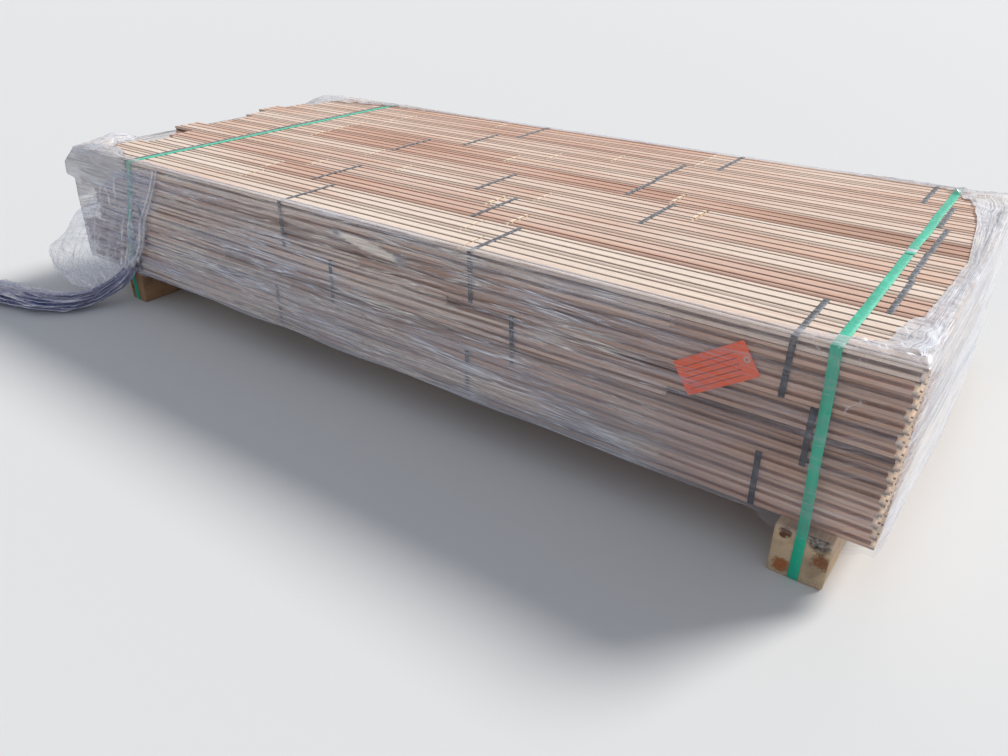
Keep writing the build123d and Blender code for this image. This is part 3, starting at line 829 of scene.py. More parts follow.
# Creases pressed into the loose layer: each runs through points given as shares across it and
# down it.
CREASES = [
    [(0.23, 0.34), (0.20, 0.62), (0.16, 1.0)], [(0.29, 0.40), (0.25, 0.66), (0.20, 1.0)],
    [(0.56, 0.52), (0.46, 0.80), (0.40, 1.0)],
    [(0.62, 0.02), (0.45, 0.24)], [(0.80, 0.06), (0.62, 0.16), (0.48, 0.30)],
    [(0.97, 0.30), (0.70, 0.33), (0.45, 0.44)], [(0.90, 0.02), (0.70, 0.22), (0.60, 0.50)],
    [(1.00, 0.74), (0.76, 0.86), (0.58, 1.0)], [(0.92, 0.50), (0.82, 0.72), (0.80, 0.92)],
    [(0.98, 0.86), (0.80, 0.80), (0.66, 0.62)],
]


def pressed(u, v):
    """1 on the creases' lines, falling off to the sides."""
    mark = np.zeros(np.broadcast(u, v).shape)
    u = u + 0.005 * np.sin(v * 15)
    for line in CREASES:
        for (u0, v0), (u1, v1) in zip(line[:-1], line[1:]):
            du, dv = u1 - u0, v1 - v0
            along = (((u - u0) * du + (v - v0) * dv) / (du * du + dv * dv)).clip(0, 1)
            away = np.hypot(u - u0 - along * du, v - v0 - along * dv)
            swell = 0.35 + 0.65 * np.sin(np.pi * along)
            mark = np.maximum(mark, np.exp(-(away / 0.009) ** 2) * swell)
    return mark


def loose_curtain():
    """The wrap's outer layer where it has come away: a curved sheet through a net of points,
    with folds that run down it to where it is gathered."""
    rows, columns = 130, 150
    surface = cubic_rows(cubic_rows(CURTAIN * MM, rows, 0), columns, 1)
    v = np.linspace(0, 1, rows)[:, None]
    u = np.linspace(0, 1, columns)[None]
    normal = np.cross(np.gradient(surface, axis=1), np.gradient(surface, axis=0))
    normal /= np.maximum(np.linalg.norm(normal, axis=2)[..., None], 1e-9)
    normal *= -np.sign(normal[..., 1:2])
    gather = np.broadcast_to(v, (rows, columns))
    fan = np.stack([u * 9 + gather * 1.5, gather * 1.4], -1)
    deep = folds(fan, 1.0, 41) * (1.5 + 8 * gather ** 1.5) * MM
    small = folds(surface, 0.05, 43) * (1.2 + 3 * gather) * MM
    # Two raised folds run down beside the free edge.
    hem = sum(np.exp(-((u - at) / 0.012) ** 2) for at in (0.02, 0.075))
    creased = pressed(u, v)
    raised = deep + small + (3.5 * hem + 2.5 * creased) * MM
    surface = surface + normal * raised[..., None]
    down = np.linalg.norm(np.diff(surface[:, columns // 2], axis=0), axis=1).sum()
    across = np.linalg.norm(np.diff(surface[rows // 3], axis=0), axis=1).sum()
    uv = np.stack(np.broadcast_arrays(u * across, v * down), -1).reshape(-1, 2)
    # Painted highlights on the hem's folds, the creases and the deep folds; whiter also at the
    # outer edge and where the film is gathered.
    lines = np.maximum(hem, creased)
    milk_and_light = (0.05 + 0.95 * np.maximum(lines, (deep / (8 * MM)).clip(0, 0.6))
             + 0.7 * lines * (0.4 + 0.6 * folds(surface, 0.12, 45))
             + 0.25 * np.exp(-((1 - u) / 0.02) ** 2) + 0.25 * gather ** 3)
    return build_piece(
        "film_loose_layer", surface.reshape(-1, 3), [grid_quads(rows, columns)[:, ::-1]],
        uv=uv, numbers={"crumple": (0.25 + 0.35 * gather).ravel(), "milk_and_light": milk_and_light.ravel()},
    )


# The gathered tail: X, Y, Z, width and height in mm, from the left bunk's end to the floor.
TAIL = np.array([
    (166, -10, 108, 22, 30), (160, -16, 98, 28, 34), (148, -28, 80, 32, 38),
    (130, -46, 60, 40, 42), (108, -70, 42, 52, 46), (86, -108, 28, 66, 48),
    (62, -142, 25, 78, 46), (20, -172, 25, 86, 45), (-40, -190, 25, 92, 45),
    (-110, -207, 24, 100, 44), (-190, -226, 24, 104, 41), (-270, -239, 22, 98, 36),
    (-345, -249, 18, 70, 26),
], float)


def tail_piece():
    """The film's loose end gathered into a rope: a tube along a curved path whose section is
    an ellipse deeply pleated, the pleats twisting slowly along it and flattened on the
    floor."""
    stations, turns = 230, 220
    line = cubic_rows(TAIL * MM, stations, 0)
    path, width, height = line[:, :3], line[:, 3:4], line[:, 4:5]
    tangent = np.gradient(path, axis=0)
    tangent /= np.linalg.norm(tangent, axis=1)[:, None]
    side = np.cross(tangent, (0, 0, 1.0))
    side /= np.linalg.norm(side, axis=1)[:, None]
    up = np.cross(side, tangent)
    s = np.concatenate([[0], np.cumsum(np.linalg.norm(np.diff(path, axis=0), axis=1))])[:, None]
    angle = np.linspace(0, 2 * np.pi, turns, endpoint=False)[None]
    twisted = angle + 1.9 * s / s[-1]
    where = np.stack(np.broadcast_arrays(np.cos(twisted), np.sin(twisted), s * 3.0), -1)
    pleat = folds(where, 0.95, 51) + 0.45 * folds(where * (1.8, 1.8, 1.5), 0.8, 53)
    small = folds(where * (4, 4, 6), 1.1, 55)
    # Both free ends open out into short ruffles.
    ends = np.exp(-s / 0.03) + np.exp(-(s[-1] - s) / 0.035)
    radius = 0.54 + 0.5 * pleat + 0.05 * small
    radius += 0.22 * ends * folds(where * (5, 5, 1), 0.9, 57)
    radius /= np.percentile(radius, 98)
    ring = (
        path[:, None] + side[:, None] * (np.cos(angle) * radius * width / 2)[..., None]
        + up[:, None] * (np.sin(angle) * radius * height / 2)[..., None]
    )
    # What would sink lower than 3 mm is pressed nearly flat, and stays 1 mm off the floor.
    z = ring[..., 2]
    pressed_flat = 3 * MM + (z - 3 * MM) * 0.05
    ring[..., 2] = np.maximum(np.where(z < 3 * MM, pressed_flat, z), 1.0 * MM)
    quads = grid_quads(stations, turns, close_columns=True)
    uv = np.stack(np.broadcast_arrays(s, angle * 0.09), -1).reshape(-1, 2)
    # Painted highlights on the pleats' ridges, which are made milkier; the valleys keep the tail's
    # dark tint.
    ridge = ((radius - np.percentile(radius, 20)) / np.ptp(radius) * 1.7).clip(0, 1)
    return build_piece(
        "film_gathered_tail", ring.reshape(-1, 3), [quads[:, ::-1]], uv=uv,
        numbers={"crumple": (0.4 + 0.4 * ridge).ravel(), "milk_and_light": (0.5 * ridge ** 1.3).ravel()},
    )


# Tag

TAG_CENTRE = (LENGTH - 265 * MM, -1.15 * MM, 297 * MM)
TAG_TILT = math.radians(33)
TAG_SIZE = (120 * MM, 58 * MM)
TAG_THICK = 0.25 * MM
RULE_PITCH = 9 * MM


def on_card(across, up, behind):
    """Places on the tilted card, by how far they are across it, up it and behind its face."""
    cos, sin = math.cos(TAG_TILT), math.sin(TAG_TILT)
    return np.stack(np.broadcast_arrays(
        TAG_CENTRE[0] + across * cos - up * sin, TAG_CENTRE[1] + behind,
        TAG_CENTRE[2] + across * sin + up * cos), -1)


def tag_piece():
    """A card bowed a little: a grid over the card whose edge columns step in where its
    corners are worn round. The hole is drawn by its eyelet."""
    columns, rows = 61, 31
    worn, corner = 1.2 * MM, 2 * MM
    x = np.linspace(-0.5, 0.5, columns)[None] * TAG_SIZE[0]
    t = np.linspace(-0.5, 0.5, rows)[:, None]
    y = t * (TAG_SIZE[1] - 2 * worn * ramp(np.abs(x), TAG_SIZE[0] / 2 - corner, corner))
    x = np.broadcast_to(x, y.shape)
    bow = -0.25 * MM * np.cos(x / TAG_SIZE[0] * np.pi) - 0.1 * MM * np.cos(y / TAG_SIZE[1] * np.pi)
    points = np.concatenate([
        on_card(x, y, bow + depth).reshape(-1, 3) for depth in (0, TAG_THICK)])
    front = grid_quads(rows, columns)
    n = rows * columns
    index = np.arange(n).reshape(rows, columns)
    rim = np.concatenate([index[0], index[1:, -1], index[-1, -2::-1], index[-2:0:-1, 0]])
    edge = np.stack([np.roll(rim, -1), rim, rim + n, np.roll(rim, -1) + n], 1)
    uv = np.tile(np.stack([x, y], -1).reshape(-1, 2), (2, 1))
    return build_piece("tag_card", points, [front, front[:, ::-1] + n, edge], uv=uv, smooth=False)


def eyelet_piece():
    """The ring in the tag's hole: a rounded section turned about the hole's axis."""
    turns, around = 48, 14
    a = np.linspace(0, 2 * np.pi, turns, endpoint=False)[:, None]
    b = np.linspace(0, 2 * np.pi, around, endpoint=False)[None]
    radius = (3.8 + 1.2 * np.cos(b)) * MM
    points = on_card(TAG_SIZE[0] / 2 - 8 * MM + radius * np.cos(a), radius * np.sin(a),
                     -TAG_THICK - 0.35 * MM * np.sin(b))
    quads = grid_quads(turns, around, close_columns=True, close_rows=True)
    return build_piece("tag_ring", points.reshape(-1, 3), [quads])


# Shading

def colour(red, green, blue, alpha=1.0):
    """A screen colour from 0 to 255 as Blender's linear one."""
    channels = np.array([red, green, blue]) / 255
    linear = np.where(channels > 0.04045, ((channels + 0.055) / 1.055) ** 2.4, channels / 12.92)
    return (*[float(c) for c in linear], alpha)


class FinishTree:
    """A node tree, with short calls for the sums and patterns that the finishes are made of. A
    value is a number, a colour or another node's output."""

    def __init__(self, tree):
        self.tree = tree

    def add(self, kind, inputs=None, **settings):
        """Adds a node and sets it up; inputs maps a socket's name or number to its value."""
        made = self.tree.nodes.new(kind)
        for name, value in settings.items():
            setattr(made, name, value)
        for socket, value in (inputs or {}).items():
            if isinstance(value, bpy.types.NodeSocket):
                self.tree.links.new(value, made.inputs[socket])
            else:
                made.inputs[socket].default_value = value
        return made

    def maths(self, operation, first, second=0.0, clamp=False):
        """One sum on two values."""
        made = self.add("ShaderNodeMath", {0: first, 1: second}, operation=operation)
        made.use_clamp = clamp
        return made.outputs[0]

    def plus(self, *values):
        """Values added up, from the left."""
        return reduce(partial(self.maths, "ADD"), values)

    def times(self, *values):
        """Values multiplied, from the left."""
        return reduce(partial(self.maths, "MULTIPLY"), values)

    def most(self, *values):
        """The largest of the values."""
        return reduce(partial(self.maths, "MAXIMUM"), values)

    def off(self, value, centre):
        """How far a value is from a centre, on either side."""
        return self.maths("ABSOLUTE", self.maths("SUBTRACT", value, centre))

    def ranged(self, value, low, high, to_low=0.0, to_high=1.0):
        """A value mapped from one range to another and held there."""
        return self.add("ShaderNodeMapRange", {
            "Value": value, "From Min": low, "From Max": high, "To Min": to_low,
            "To Max": to_high,
        }).outputs["Result"]

    def swing(self, value, reach):
        """How far a value is above the middle of noise, made larger or smaller."""
        return self.times(self.maths("SUBTRACT", value, 0.5), reach)

    def split(self, vector):
        """A vector's three values."""
        return self.add("ShaderNodeSeparateXYZ", {0: vector}).outputs

    def stretched(self, vector, scale):
        """A vector scaled differently along each axis."""
        return self.add("ShaderNodeMapping", {"Vector": vector, "Scale": scale}).outputs[0]

    def vector(self, operation, first, second=(0, 0, 0)):
        """One sum on two vectors."""
        return self.add("ShaderNodeVectorMath", {0: first, 1: second}, operation=operation)

    def from_line(self, place, centre, along):
        """How far a place is from a line along Y through a centre. Along says how much the
        distance along the line counts."""
        moved = self.vector("SUBTRACT", place, centre).outputs[0]
        return self.vector("LENGTH", self.stretched(moved, (1, along, 1))).outputs["Value"]

    def noise(self, vector, scale, detail=2.0, distortion=0.0):
        """A noise texture's value. Scale is one number, or one for each axis."""
        if isinstance(scale, tuple):
            vector, scale = self.stretched(vector, scale), 1.0
        return self.add("ShaderNodeTexNoise", {
            "Vector": vector, "Scale": scale, "Detail": detail, "Distortion": distortion,
        }).outputs["Fac"]

    def blend(self, share, first, second, how="MIX"):
        """Two colours mixed."""
        return self.add("ShaderNodeMix", {0: share, 6: first, 7: second}, data_type="RGBA",
                        blend_type=how).outputs[2]

    def shaded(self, base, amount):
        """A colour made darker or lighter by an amount."""
        grey = self.add("ShaderNodeCombineColor", {0: amount, 1: amount, 2: amount})
        return self.blend(1.0, base, grey.outputs[0], "MULTIPLY")

    def attribute(self, name, output="Fac"):
        """A named value of the mesh."""
        return self.add("ShaderNodeAttribute", attribute_name=name).outputs[output]

    def surface(self):
        """The piece's own UV map."""
        return self.add("ShaderNodeUVMap", uv_map="surface").outputs[0]

    def group(self, group, inputs):
        """Places a node group."""
        return self.add("ShaderNodeGroup", inputs, node_tree=group).outputs

    def shade(self, sockets, height=None, distance=0.0):
        """Ends a material with its shader, whose surface is bumped by a height over a distance
        in metres."""
        if height is not None:
            bump = self.add("ShaderNodeBump", {
                "Height": height, "Distance": distance, "Strength": 1.0})
            sockets = {**sockets, "Normal": bump.outputs[0]}
        shader = self.add("ShaderNodeBsdfPrincipled", sockets)
        self.add("ShaderNodeOutputMaterial", {0: shader.outputs[0]})


# What the node group of a solid finish puts out.
SURFACE = {"Color": "Color", "Roughness": "Float", "Height": "Float"}


def new_group(name, inputs, outputs):
    """An empty node group with named sockets; returns its tree and what it is given."""
    group = bpy.data.node_groups.new(name, "ShaderNodeTree")
    for sockets, way in ((inputs, "INPUT"), (outputs, "OUTPUT")):
        for label, kind in sockets.items():
            group.interface.new_socket(label, in_out=way, socket_type="NodeSocket" + kind)
    tree = FinishTree(group)
    return tree, tree.add("NodeGroupInput").outputs


def new_material(name):
    """A material and its empty tree."""
    material = bpy.data.materials.new(name)
    material.use_nodes = True
    material.node_tree.nodes.clear()
    return material, FinishTree(material.node_tree)


def oak_figure():
    """Planed oak: a tone for each board, long growth streaks, short dark pores, slow changes along
    the board, end grain on the ends, painted light on the lips at a board's near end, and painted
    shade down in the grooves."""
    tree, given = new_group(
        "oak_figure",
        {"Place": "Vector", "Tone": "Vector", "Groove Shade": "Float", "Facing": "Vector"}, SURFACE)
    place = given["Place"]
    tone = tree.split(given["Tone"])
    figure = tree.noise(place, (1.1, 34, 34), 3.0, 0.6)
    streak = tree.noise(place, (2.6, 260, 260), 2.0, 0.2)
    slow = tree.noise(place, (2.4, 3, 3), 1.0)
    pore = tree.ranged(tree.noise(place, (46, 1500, 1500), 1.0), 0.60, 0.74)
    pale = tree.plus(tone[0], tree.swing(slow, 0.7), tree.swing(figure, 0.85))
    tones = tree.add("ShaderNodeValToRGB", {0: pale})
    elements = tones.color_ramp.elements
    elements[0].position, elements[0].color = 0.05, colour(150, 116, 93)
    elements[1].position, elements[1].color = 1.0, colour(255, 236, 218)
    elements.new(0.5).color = colour(232, 192, 168)
    red = tree.times(tone[1], tree.ranged(figure, 0.35, 0.7, 0.9, 0.35), 0.62)
    wood = tree.blend(red, tones.outputs[0], colour(202, 140, 118))
    wood = tree.shaded(wood, tree.ranged(streak, 0.3, 0.7, 0.86, 1.05))
    wood = tree.blend(tree.times(pore, 0.35), wood, colour(112, 76, 58))
    # Painted light: lips marked 2, at a board's near end, are lightened almost to white.
    end_light = tree.times(tree.ranged(tone[2], 1.0, 2.0), 0.8)
    wood = tree.blend(end_light, wood, colour(255, 236, 212))
    # Painted shade in the grooves and where the layers meet, stronger on some boards than on
    # others.
    deep = tree.times(given["Groove Shade"], tree.ranged(tone[2], 0.0, 1.0, 0.15, 0.85))
    wood = tree.blend(deep, wood, colour(92, 66, 54))
    # End grain: tight rings and open pores, seen only on faces that look along the board; its
    # colours are lightened as painted light on the ends.
    rings = tree.ranged(tree.noise(place, (0.2, 420, 900), 2.0, 0.4), 0.3, 0.7)
    lit_end_grain = tree.blend(rings, colour(232, 196, 160), colour(255, 236, 210))
    facing = tree.split(given["Facing"])
    on_end = tree.ranged(tree.maths("ABSOLUTE", facing[0]), 0.6, 0.8)
    tree.add("NodeGroupOutput", {
        "Color": tree.blend(on_end, wood, lit_end_grain),
        "Roughness": tree.ranged(streak, 0.2, 0.8, 0.5, 0.66),
        "Height": tree.maths("SUBTRACT", tree.times(streak, 0.6), tree.times(pore, 0.8)),
    })
    return tree.tree


def film_creases():
    """Stretch film: clear with a faint veil, painted highlights and painted blue-grey and dark
    reflections as streaks along the pull that run a little askew, and a net of sharp creases where
    it crumples, painted bright as highlights. The milky input says how many layers lie there, and
    on loose film it also carries painted highlights on the folds."""
    tree, given = new_group(
        "film_creases",
        {"Place": "Vector", "Crumple": "Float", "Milk And Light": "Float", "Veil": "Float",
         "Streaks": "Float", "Tint": "Color", "Fold Size": "Float"},
        {"Color": "Color", "Alpha": "Float", "Roughness": "Float", "Height": "Float"})
    place, pull = given["Place"], given["Streaks"]

    def streaks(turn, long, across, width, low, high):
        """Thin lines along the pull, turned by a small angle and shown only in patches, and
        the wider ridges under them."""
        turned = tree.add("ShaderNodeMapping", {
            "Vector": place, "Rotation": (0, 0, math.radians(turn))}).outputs[0]
        off = tree.off(tree.noise(turned, (long, across, 1), 2.0, 0.12), 0.5)
        patch = tree.noise(turned, (long * 1.3, across * 0.16, 1), 1.0)
        patch = tree.ranged(patch, low, high)
        line = tree.maths("POWER", tree.ranged(off, 0.0, width, 1.0, 0.0), 1.4)
        ridge = tree.ranged(off, 0.0, width * 2.5, 1.0, 0.0)
        return tree.times(line, patch), tree.times(ridge, patch)

    # The bright streaks are painted highlights; the dark line streaks are painted dark reflections.
    broad, broad_ridge = streaks(0.0, 2.6, 120, 0.045, 0.46, 0.60)
    askew, askew_ridge = streaks(2.6, 3.4, 150, 0.045, 0.47, 0.60)
    tilted, tilted_ridge = streaks(-2.2, 3.8, 180, 0.045, 0.48, 0.60)
    fine, fine_ridge = streaks(0.6, 6.0, 320, 0.055, 0.43, 0.56)
    even, _ = streaks(-0.8, 3.2, 430, 0.060, 0.10, 0.45)
    dark_reflection, _ = streaks(-0.5, 1.6, 85, 0.055, 0.44, 0.58)
    bright = tree.most(broad, askew, tilted, tree.times(fine, 0.8), tree.times(even, 0.22))
    # Painted blue-grey reflections in slow waves along the pull.
    dim_wave = tree.noise(place, (1.5, 46, 1), 2.0, 0.25)
    dim_reflection = tree.times(tree.ranged(dim_wave, 0.54, 0.68), pull)
    dark_reflection = tree.times(dark_reflection, pull)

    warp = tree.add("ShaderNodeTexNoise", {"Vector": place, "Scale": 22.0, "Detail": 2.0})
    bent = tree.vector("MULTIPLY", warp.outputs["Color"], (0.03, 0.03, 0.03)).outputs[0]
    bent = tree.vector("ADD", bent, place).outputs[0]

    def net(cells, width, strength):
        """Sharp creases on the borders of cells, so many to one fold size."""
        made = tree.add("ShaderNodeTexVoronoi", {
            "Vector": bent, "Scale": tree.maths("DIVIDE", cells, given["Fold Size"]),
        }, feature="DISTANCE_TO_EDGE")
        return tree.ranged(made.outputs["Distance"], 0.0, width, strength, 0.0)

    broken = tree.ranged(tree.noise(place, 40.0), 0.42, 0.6)
    creases = tree.most(net(1.0, 0.045, 1.0), net(2.7, 0.06, 0.5))
    creases = tree.times(creases, broken, given["Crumple"])
    # Painted highlights: the bright streaks where the film is pulled, and the creases.
    shine = tree.most(tree.times(bright, pull), creases)
    cloud = tree.ranged(tree.noise(place, (5, 9, 1), 3.0), 0.3, 0.75, 0.6, 1.4)
    veil = tree.plus(
        tree.times(given["Veil"], cloud), tree.times(dim_reflection, 0.16), tree.times(dark_reflection, 0.52),
        tree.times(given["Milk And Light"], 0.34))
    # The tint takes the painted blue-grey and dark reflections, and milk where more film lies.
    tint = tree.blend(dim_reflection, given["Tint"], colour(104, 116, 158))
    tint = tree.blend(given["Milk And Light"], tint, colour(240, 242, 248))
    tint = tree.blend(dark_reflection, tint, colour(58, 62, 96))
    # The painted highlights are warm in places and cool in others.
    warm = tree.ranged(tree.noise(place, (3, 14, 1), 1.0), 0.4, 0.6)
    glint = tree.blend(warm, colour(240, 243, 255), colour(255, 240, 222))
    ridges = tree.plus(
        tree.times(broad_ridge, 0.5), tree.times(fine_ridge, 0.2),
        tree.times(askew_ridge, 0.4), tree.times(tilted_ridge, 0.3))
    lumps = tree.noise(bent, 60.0, 3.0)
    tree.add("NodeGroupOutput", {
        "Color": tree.blend(shine, tint, glint),
        "Alpha": tree.maths("ADD", veil, tree.times(shine, 0.82), clamp=True),
        "Roughness": tree.ranged(cloud, 0.5, 1.5, 0.12, 0.3),
        "Height": tree.plus(
            tree.times(ridges, tree.most(pull, 0.3)), tree.times(dim_wave, 0.5),
            tree.times(lumps, given["Crumple"]), tree.times(creases, 0.5)),
    })
    return tree.tree


def strap_weave():
    """Rolled plastic strap: a raised lattice, a slow change of tone, and scuffs, with painted sheen
    on faces that look up and painted glints on the lattice's raised dots.
    """
    tree, given = new_group(
        "strap_weave",
        {"Place": "Vector", "Base": "Color", "Scuff And Sheen": "Color", "Pitch": "Float",
         "Sheen Up": "Float"}, SURFACE)
    place, sheen_up = given["Place"], given["Sheen Up"]
    along = tree.split(place)
    lattice = []
    for sign in (1.0, -1.0):
        slant = tree.plus(along[0], tree.times(along[1], sign))
        turn = tree.times(tree.maths("DIVIDE", slant, given["Pitch"]), math.pi)
        lattice.append(tree.maths("ABSOLUTE", tree.maths("SINE", turn)))
    raised = tree.times(*lattice)
    # Scuffs, lightened most where the strap faces up, and the lattice's raised dots lightened where
    # it faces up: painted sheen and painted glints.
    scuff = tree.ranged(tree.noise(place, (130, 60, 1), 3.0), 0.48, 0.64)
    scuff = tree.times(scuff, tree.ranged(sheen_up, 0.0, 1.0, 0.12, 0.7))
    lattice_glints = tree.times(tree.ranged(raised, 0.55, 0.9), tree.ranged(sheen_up, 0.0, 1.0, 0.08, 0.5))
    slow = tree.ranged(tree.noise(place, (9, 60, 1)), 0.3, 0.7, 0.82, 1.12)
    base = tree.blend(tree.most(scuff, lattice_glints), given["Base"], given["Scuff And Sheen"])
    tree.add("NodeGroupOutput", {
        "Color": tree.shaded(base, slow),
        "Roughness": tree.ranged(raised, 0.0, 1.0, 0.42, 0.28),
        "Height": raised,
    })
    return tree.tree


def sawn_timber():
    """Sawn softwood: saw marks across, growth lines along Y with rings on the ends, and dirt
    in patches. The rings are centred by Heart."""
    tree, given = new_group(
        "sawn_timber",
        {"Place": "Vector", "Heart": "Vector", "Light": "Color", "Dark": "Color",
         "Dirt": "Float"}, SURFACE)
    place = given["Place"]
    wobble = tree.times(tree.noise(place, (30, 2, 30)), 0.006)
    away = tree.plus(tree.from_line(place, given["Heart"], 0.02), wobble)
    ring = tree.ranged(tree.maths("SINE", tree.times(away, 1500.0)), -1.0, 1.0)
    base = tree.blend(tree.times(ring, 0.3), given["Light"], given["Dark"])
    saw = tree.noise(place, (4, 420, 4), 2.0, 0.1)
    fibre = tree.noise(place, (500, 18, 500), 3.0)
    base = tree.shaded(base, tree.ranged(fibre, 0.3, 0.7, 0.82, 1.08))
    grime = tree.ranged(tree.noise(place, 26.0, 4.0, 0.4), 0.48, 0.72)
    tree.add("NodeGroupOutput", {
        "Color": tree.blend(tree.times(grime, given["Dirt"]), base, colour(74, 60, 50)),
        "Roughness": tree.ranged(fibre, 0.2, 0.8, 0.72, 0.9),
        "Height": tree.plus(tree.times(saw, 0.7), tree.times(fibre, 0.6)),
    })
    return tree.tree


def knot_rings():
    """A knot in an end grain face: a round patch with a wavering edge and its own rings.
    Outputs how much of the knot lies there, how dark it is, and its rim."""
    tree, given = new_group(
        "knot_rings", {"Place": "Vector", "Centre": "Vector", "Radius": "Float"},
        {"Mask": "Float", "Ring": "Float", "Rim": "Float"})
    waver = tree.swing(tree.noise(given["Place"], (130, 1, 130), 3.0), 0.020)
    away = tree.plus(tree.from_line(given["Place"], given["Centre"], 0), waver)
    share = tree.maths("DIVIDE", away, given["Radius"])
    tree.add("NodeGroupOutput", {
        "Mask": tree.ranged(share, 0.7, 1.1, 1.0, 0.0),
        "Ring": tree.ranged(tree.maths("SINE", tree.times(share, 19.0)), -1.6, 1.6),
        "Rim": tree.ranged(tree.off(share, 1.0), 0.0, 0.14, 1.0, 0.0),
    })
    return tree.tree


def oak_material(group):
    """Planed oak boards."""
    material, tree = new_material("planed_oak")
    figure = tree.group(group, {
        "Place": tree.attribute("grain_at", "Vector"), "Tone": tree.attribute("tone", "Vector"),
        "Groove Shade": tree.attribute("hollow"),
        "Facing": tree.add("ShaderNodeTexCoord").outputs["Normal"],
    })
    tree.shade({"Base Color": figure["Color"], "Roughness": figure["Roughness"]},
               figure["Height"], 0.15 * MM)
    return material


def film_material(name, group, tint, veil, streaks, fold_size, distance):
    """Clear film: its alpha follows its veil and creases, and it gets whiter and more mirror-like
    edge on. Without streaks of its own it takes them from how taut the wrap is, and has the wrap's
    flap and gathered edges, with painted shade on the cord and the band."""
    material, tree = new_material(name)
    on_wrap = streaks is None
    made = tree.group(group, {
        "Place": tree.surface(), "Crumple": tree.attribute("crumple"), "Tint": tint,
        "Milk And Light": tree.attribute("milk_and_light"), "Veil": veil,
        "Streaks": tree.attribute("taut") if on_wrap else streaks, "Fold Size": fold_size,
    })
    edge = tree.add("ShaderNodeLayerWeight", {"Blend": 0.5}).outputs["Facing"]
    edge = tree.times(tree.maths("POWER", edge, 3.0), 0.5)
    alpha = tree.maths("ADD", made["Alpha"], edge, clamp=True)
    base = made["Color"]
    if on_wrap:
        flap, gathered = tree.attribute("flap"), tree.attribute("gathered")
        base = tree.blend(flap, base, colour(250, 234, 218))
        # The gathered edges are darkened: painted shade on the skirt's cord and the band.
        base = tree.blend(gathered, base, colour(30, 36, 70))
        more = tree.plus(tree.times(flap, 0.55), tree.times(gathered, 0.9))
        alpha = tree.maths("ADD", alpha, more, clamp=True)
    tree.shade({"Base Color": base, "Roughness": made["Roughness"], "Alpha": alpha, "IOR": 1.9,
                "Specular IOR Level": 1.0}, made["Height"], distance)
    return material


def strap_material(name, group, base, scuffed, pitch, distance):
    """Rolled plastic strap, glossy, with painted sheen where it faces up, and pressed into a fine
    check where it is welded."""
    material, tree = new_material(name)
    # Faces that look up get painted sheen.
    facing = tree.split(tree.add("ShaderNodeTexCoord").outputs["Normal"])
    made = tree.group(group, {
        "Place": tree.surface(), "Base": base, "Scuff And Sheen": scuffed, "Pitch": pitch,
        "Sheen Up": tree.ranged(facing[2], 0.5, 0.9),
    })
    pressed_check = tree.add("ShaderNodeTexChecker", {
        "Vector": tree.surface(), "Scale": 620.0, "Color1": colour(236, 240, 240),
        "Color2": colour(166, 176, 178)}).outputs["Color"]
    base = tree.blend(tree.attribute("weld"), made["Color"], pressed_check)
    tree.shade({"Base Color": base, "Roughness": made["Roughness"], "IOR": 1.5},
               made["Height"], distance)
    return material


def timber_material(name, group, knot_group, heart, light, dark, dirt, knots, bark=()):
    """Sawn bunk timber with its knots, each given by its centre, radius and two colours, and
    patches of bark, each given by its centre and radius. Both show on the front end only."""
    material, tree = new_material(name)
    given = tree.add("ShaderNodeTexCoord").outputs
    place = given["Object"]
    sawn = tree.group(group, {
        "Place": place, "Heart": heart, "Light": light, "Dark": dark, "Dirt": dirt})
    base = sawn["Color"]
    on_end = tree.ranged(tree.split(given["Normal"])[1], -0.7, -0.5, 1.0, 0.0)
    for centre, radius, inner, outer in knots:
        knot = tree.group(knot_group, {"Place": place, "Centre": centre, "Radius": radius})
        wood = tree.blend(knot["Ring"], inner, outer)
        base = tree.blend(tree.times(knot["Mask"], on_end), base, wood)
        base = tree.blend(tree.times(knot["Rim"], on_end, 0.35), base, colour(84, 52, 36))
    for centre, radius in bark:
        patch = tree.group(knot_group, {"Place": place, "Centre": centre, "Radius": radius})
        torn = tree.ranged(tree.noise(place, (220, 60, 220), 4.0), 0.35, 0.65)
        rind = tree.blend(torn, colour(58, 52, 48), colour(150, 136, 118))
        base = tree.blend(tree.times(patch["Mask"], on_end), base, rind)
    tree.shade({"Base Color": base, "Roughness": sawn["Roughness"]}, sawn["Height"], 0.5 * MM)
    return material


def tag_material():
    """Orange coated card with ruled lines for writing on, a little scuffed."""
    material, tree = new_material("orange_card")
    surface = tree.surface()
    place = tree.split(surface)
    fleck = tree.noise(surface, 900.0, 3.0)
    cloud = tree.ranged(tree.noise(surface, 30.0, 3.0), 0.3, 0.7)
    base = tree.blend(cloud, colour(255, 86, 10), colour(250, 102, 28))
    rule = tree.maths("PINGPONG", tree.plus(place[1], TAG_SIZE[1] / 2), RULE_PITCH / 2)
    rule = tree.ranged(rule, 0.4 * MM, 0.7 * MM, 1.0, 0.0)
    inside = tree.times(
        tree.ranged(tree.off(place[0], -6 * MM), 44 * MM, 44.5 * MM, 1.0, 0.0),
        tree.ranged(tree.maths("ABSOLUTE", place[1]), 20.5 * MM, 21 * MM, 1.0, 0.0))
    base = tree.blend(tree.times(rule, inside, 0.9), base, colour(44, 22, 20))
    scuffs = tree.times(tree.ranged(fleck, 0.6, 0.75), 0.2)
    base = tree.blend(scuffs, base, colour(255, 214, 190))
    tree.shade({"Base Color": base, "Roughness": tree.ranged(cloud, 0, 1, 0.4, 0.55)},
               fleck, 0.05 * MM)
    return material


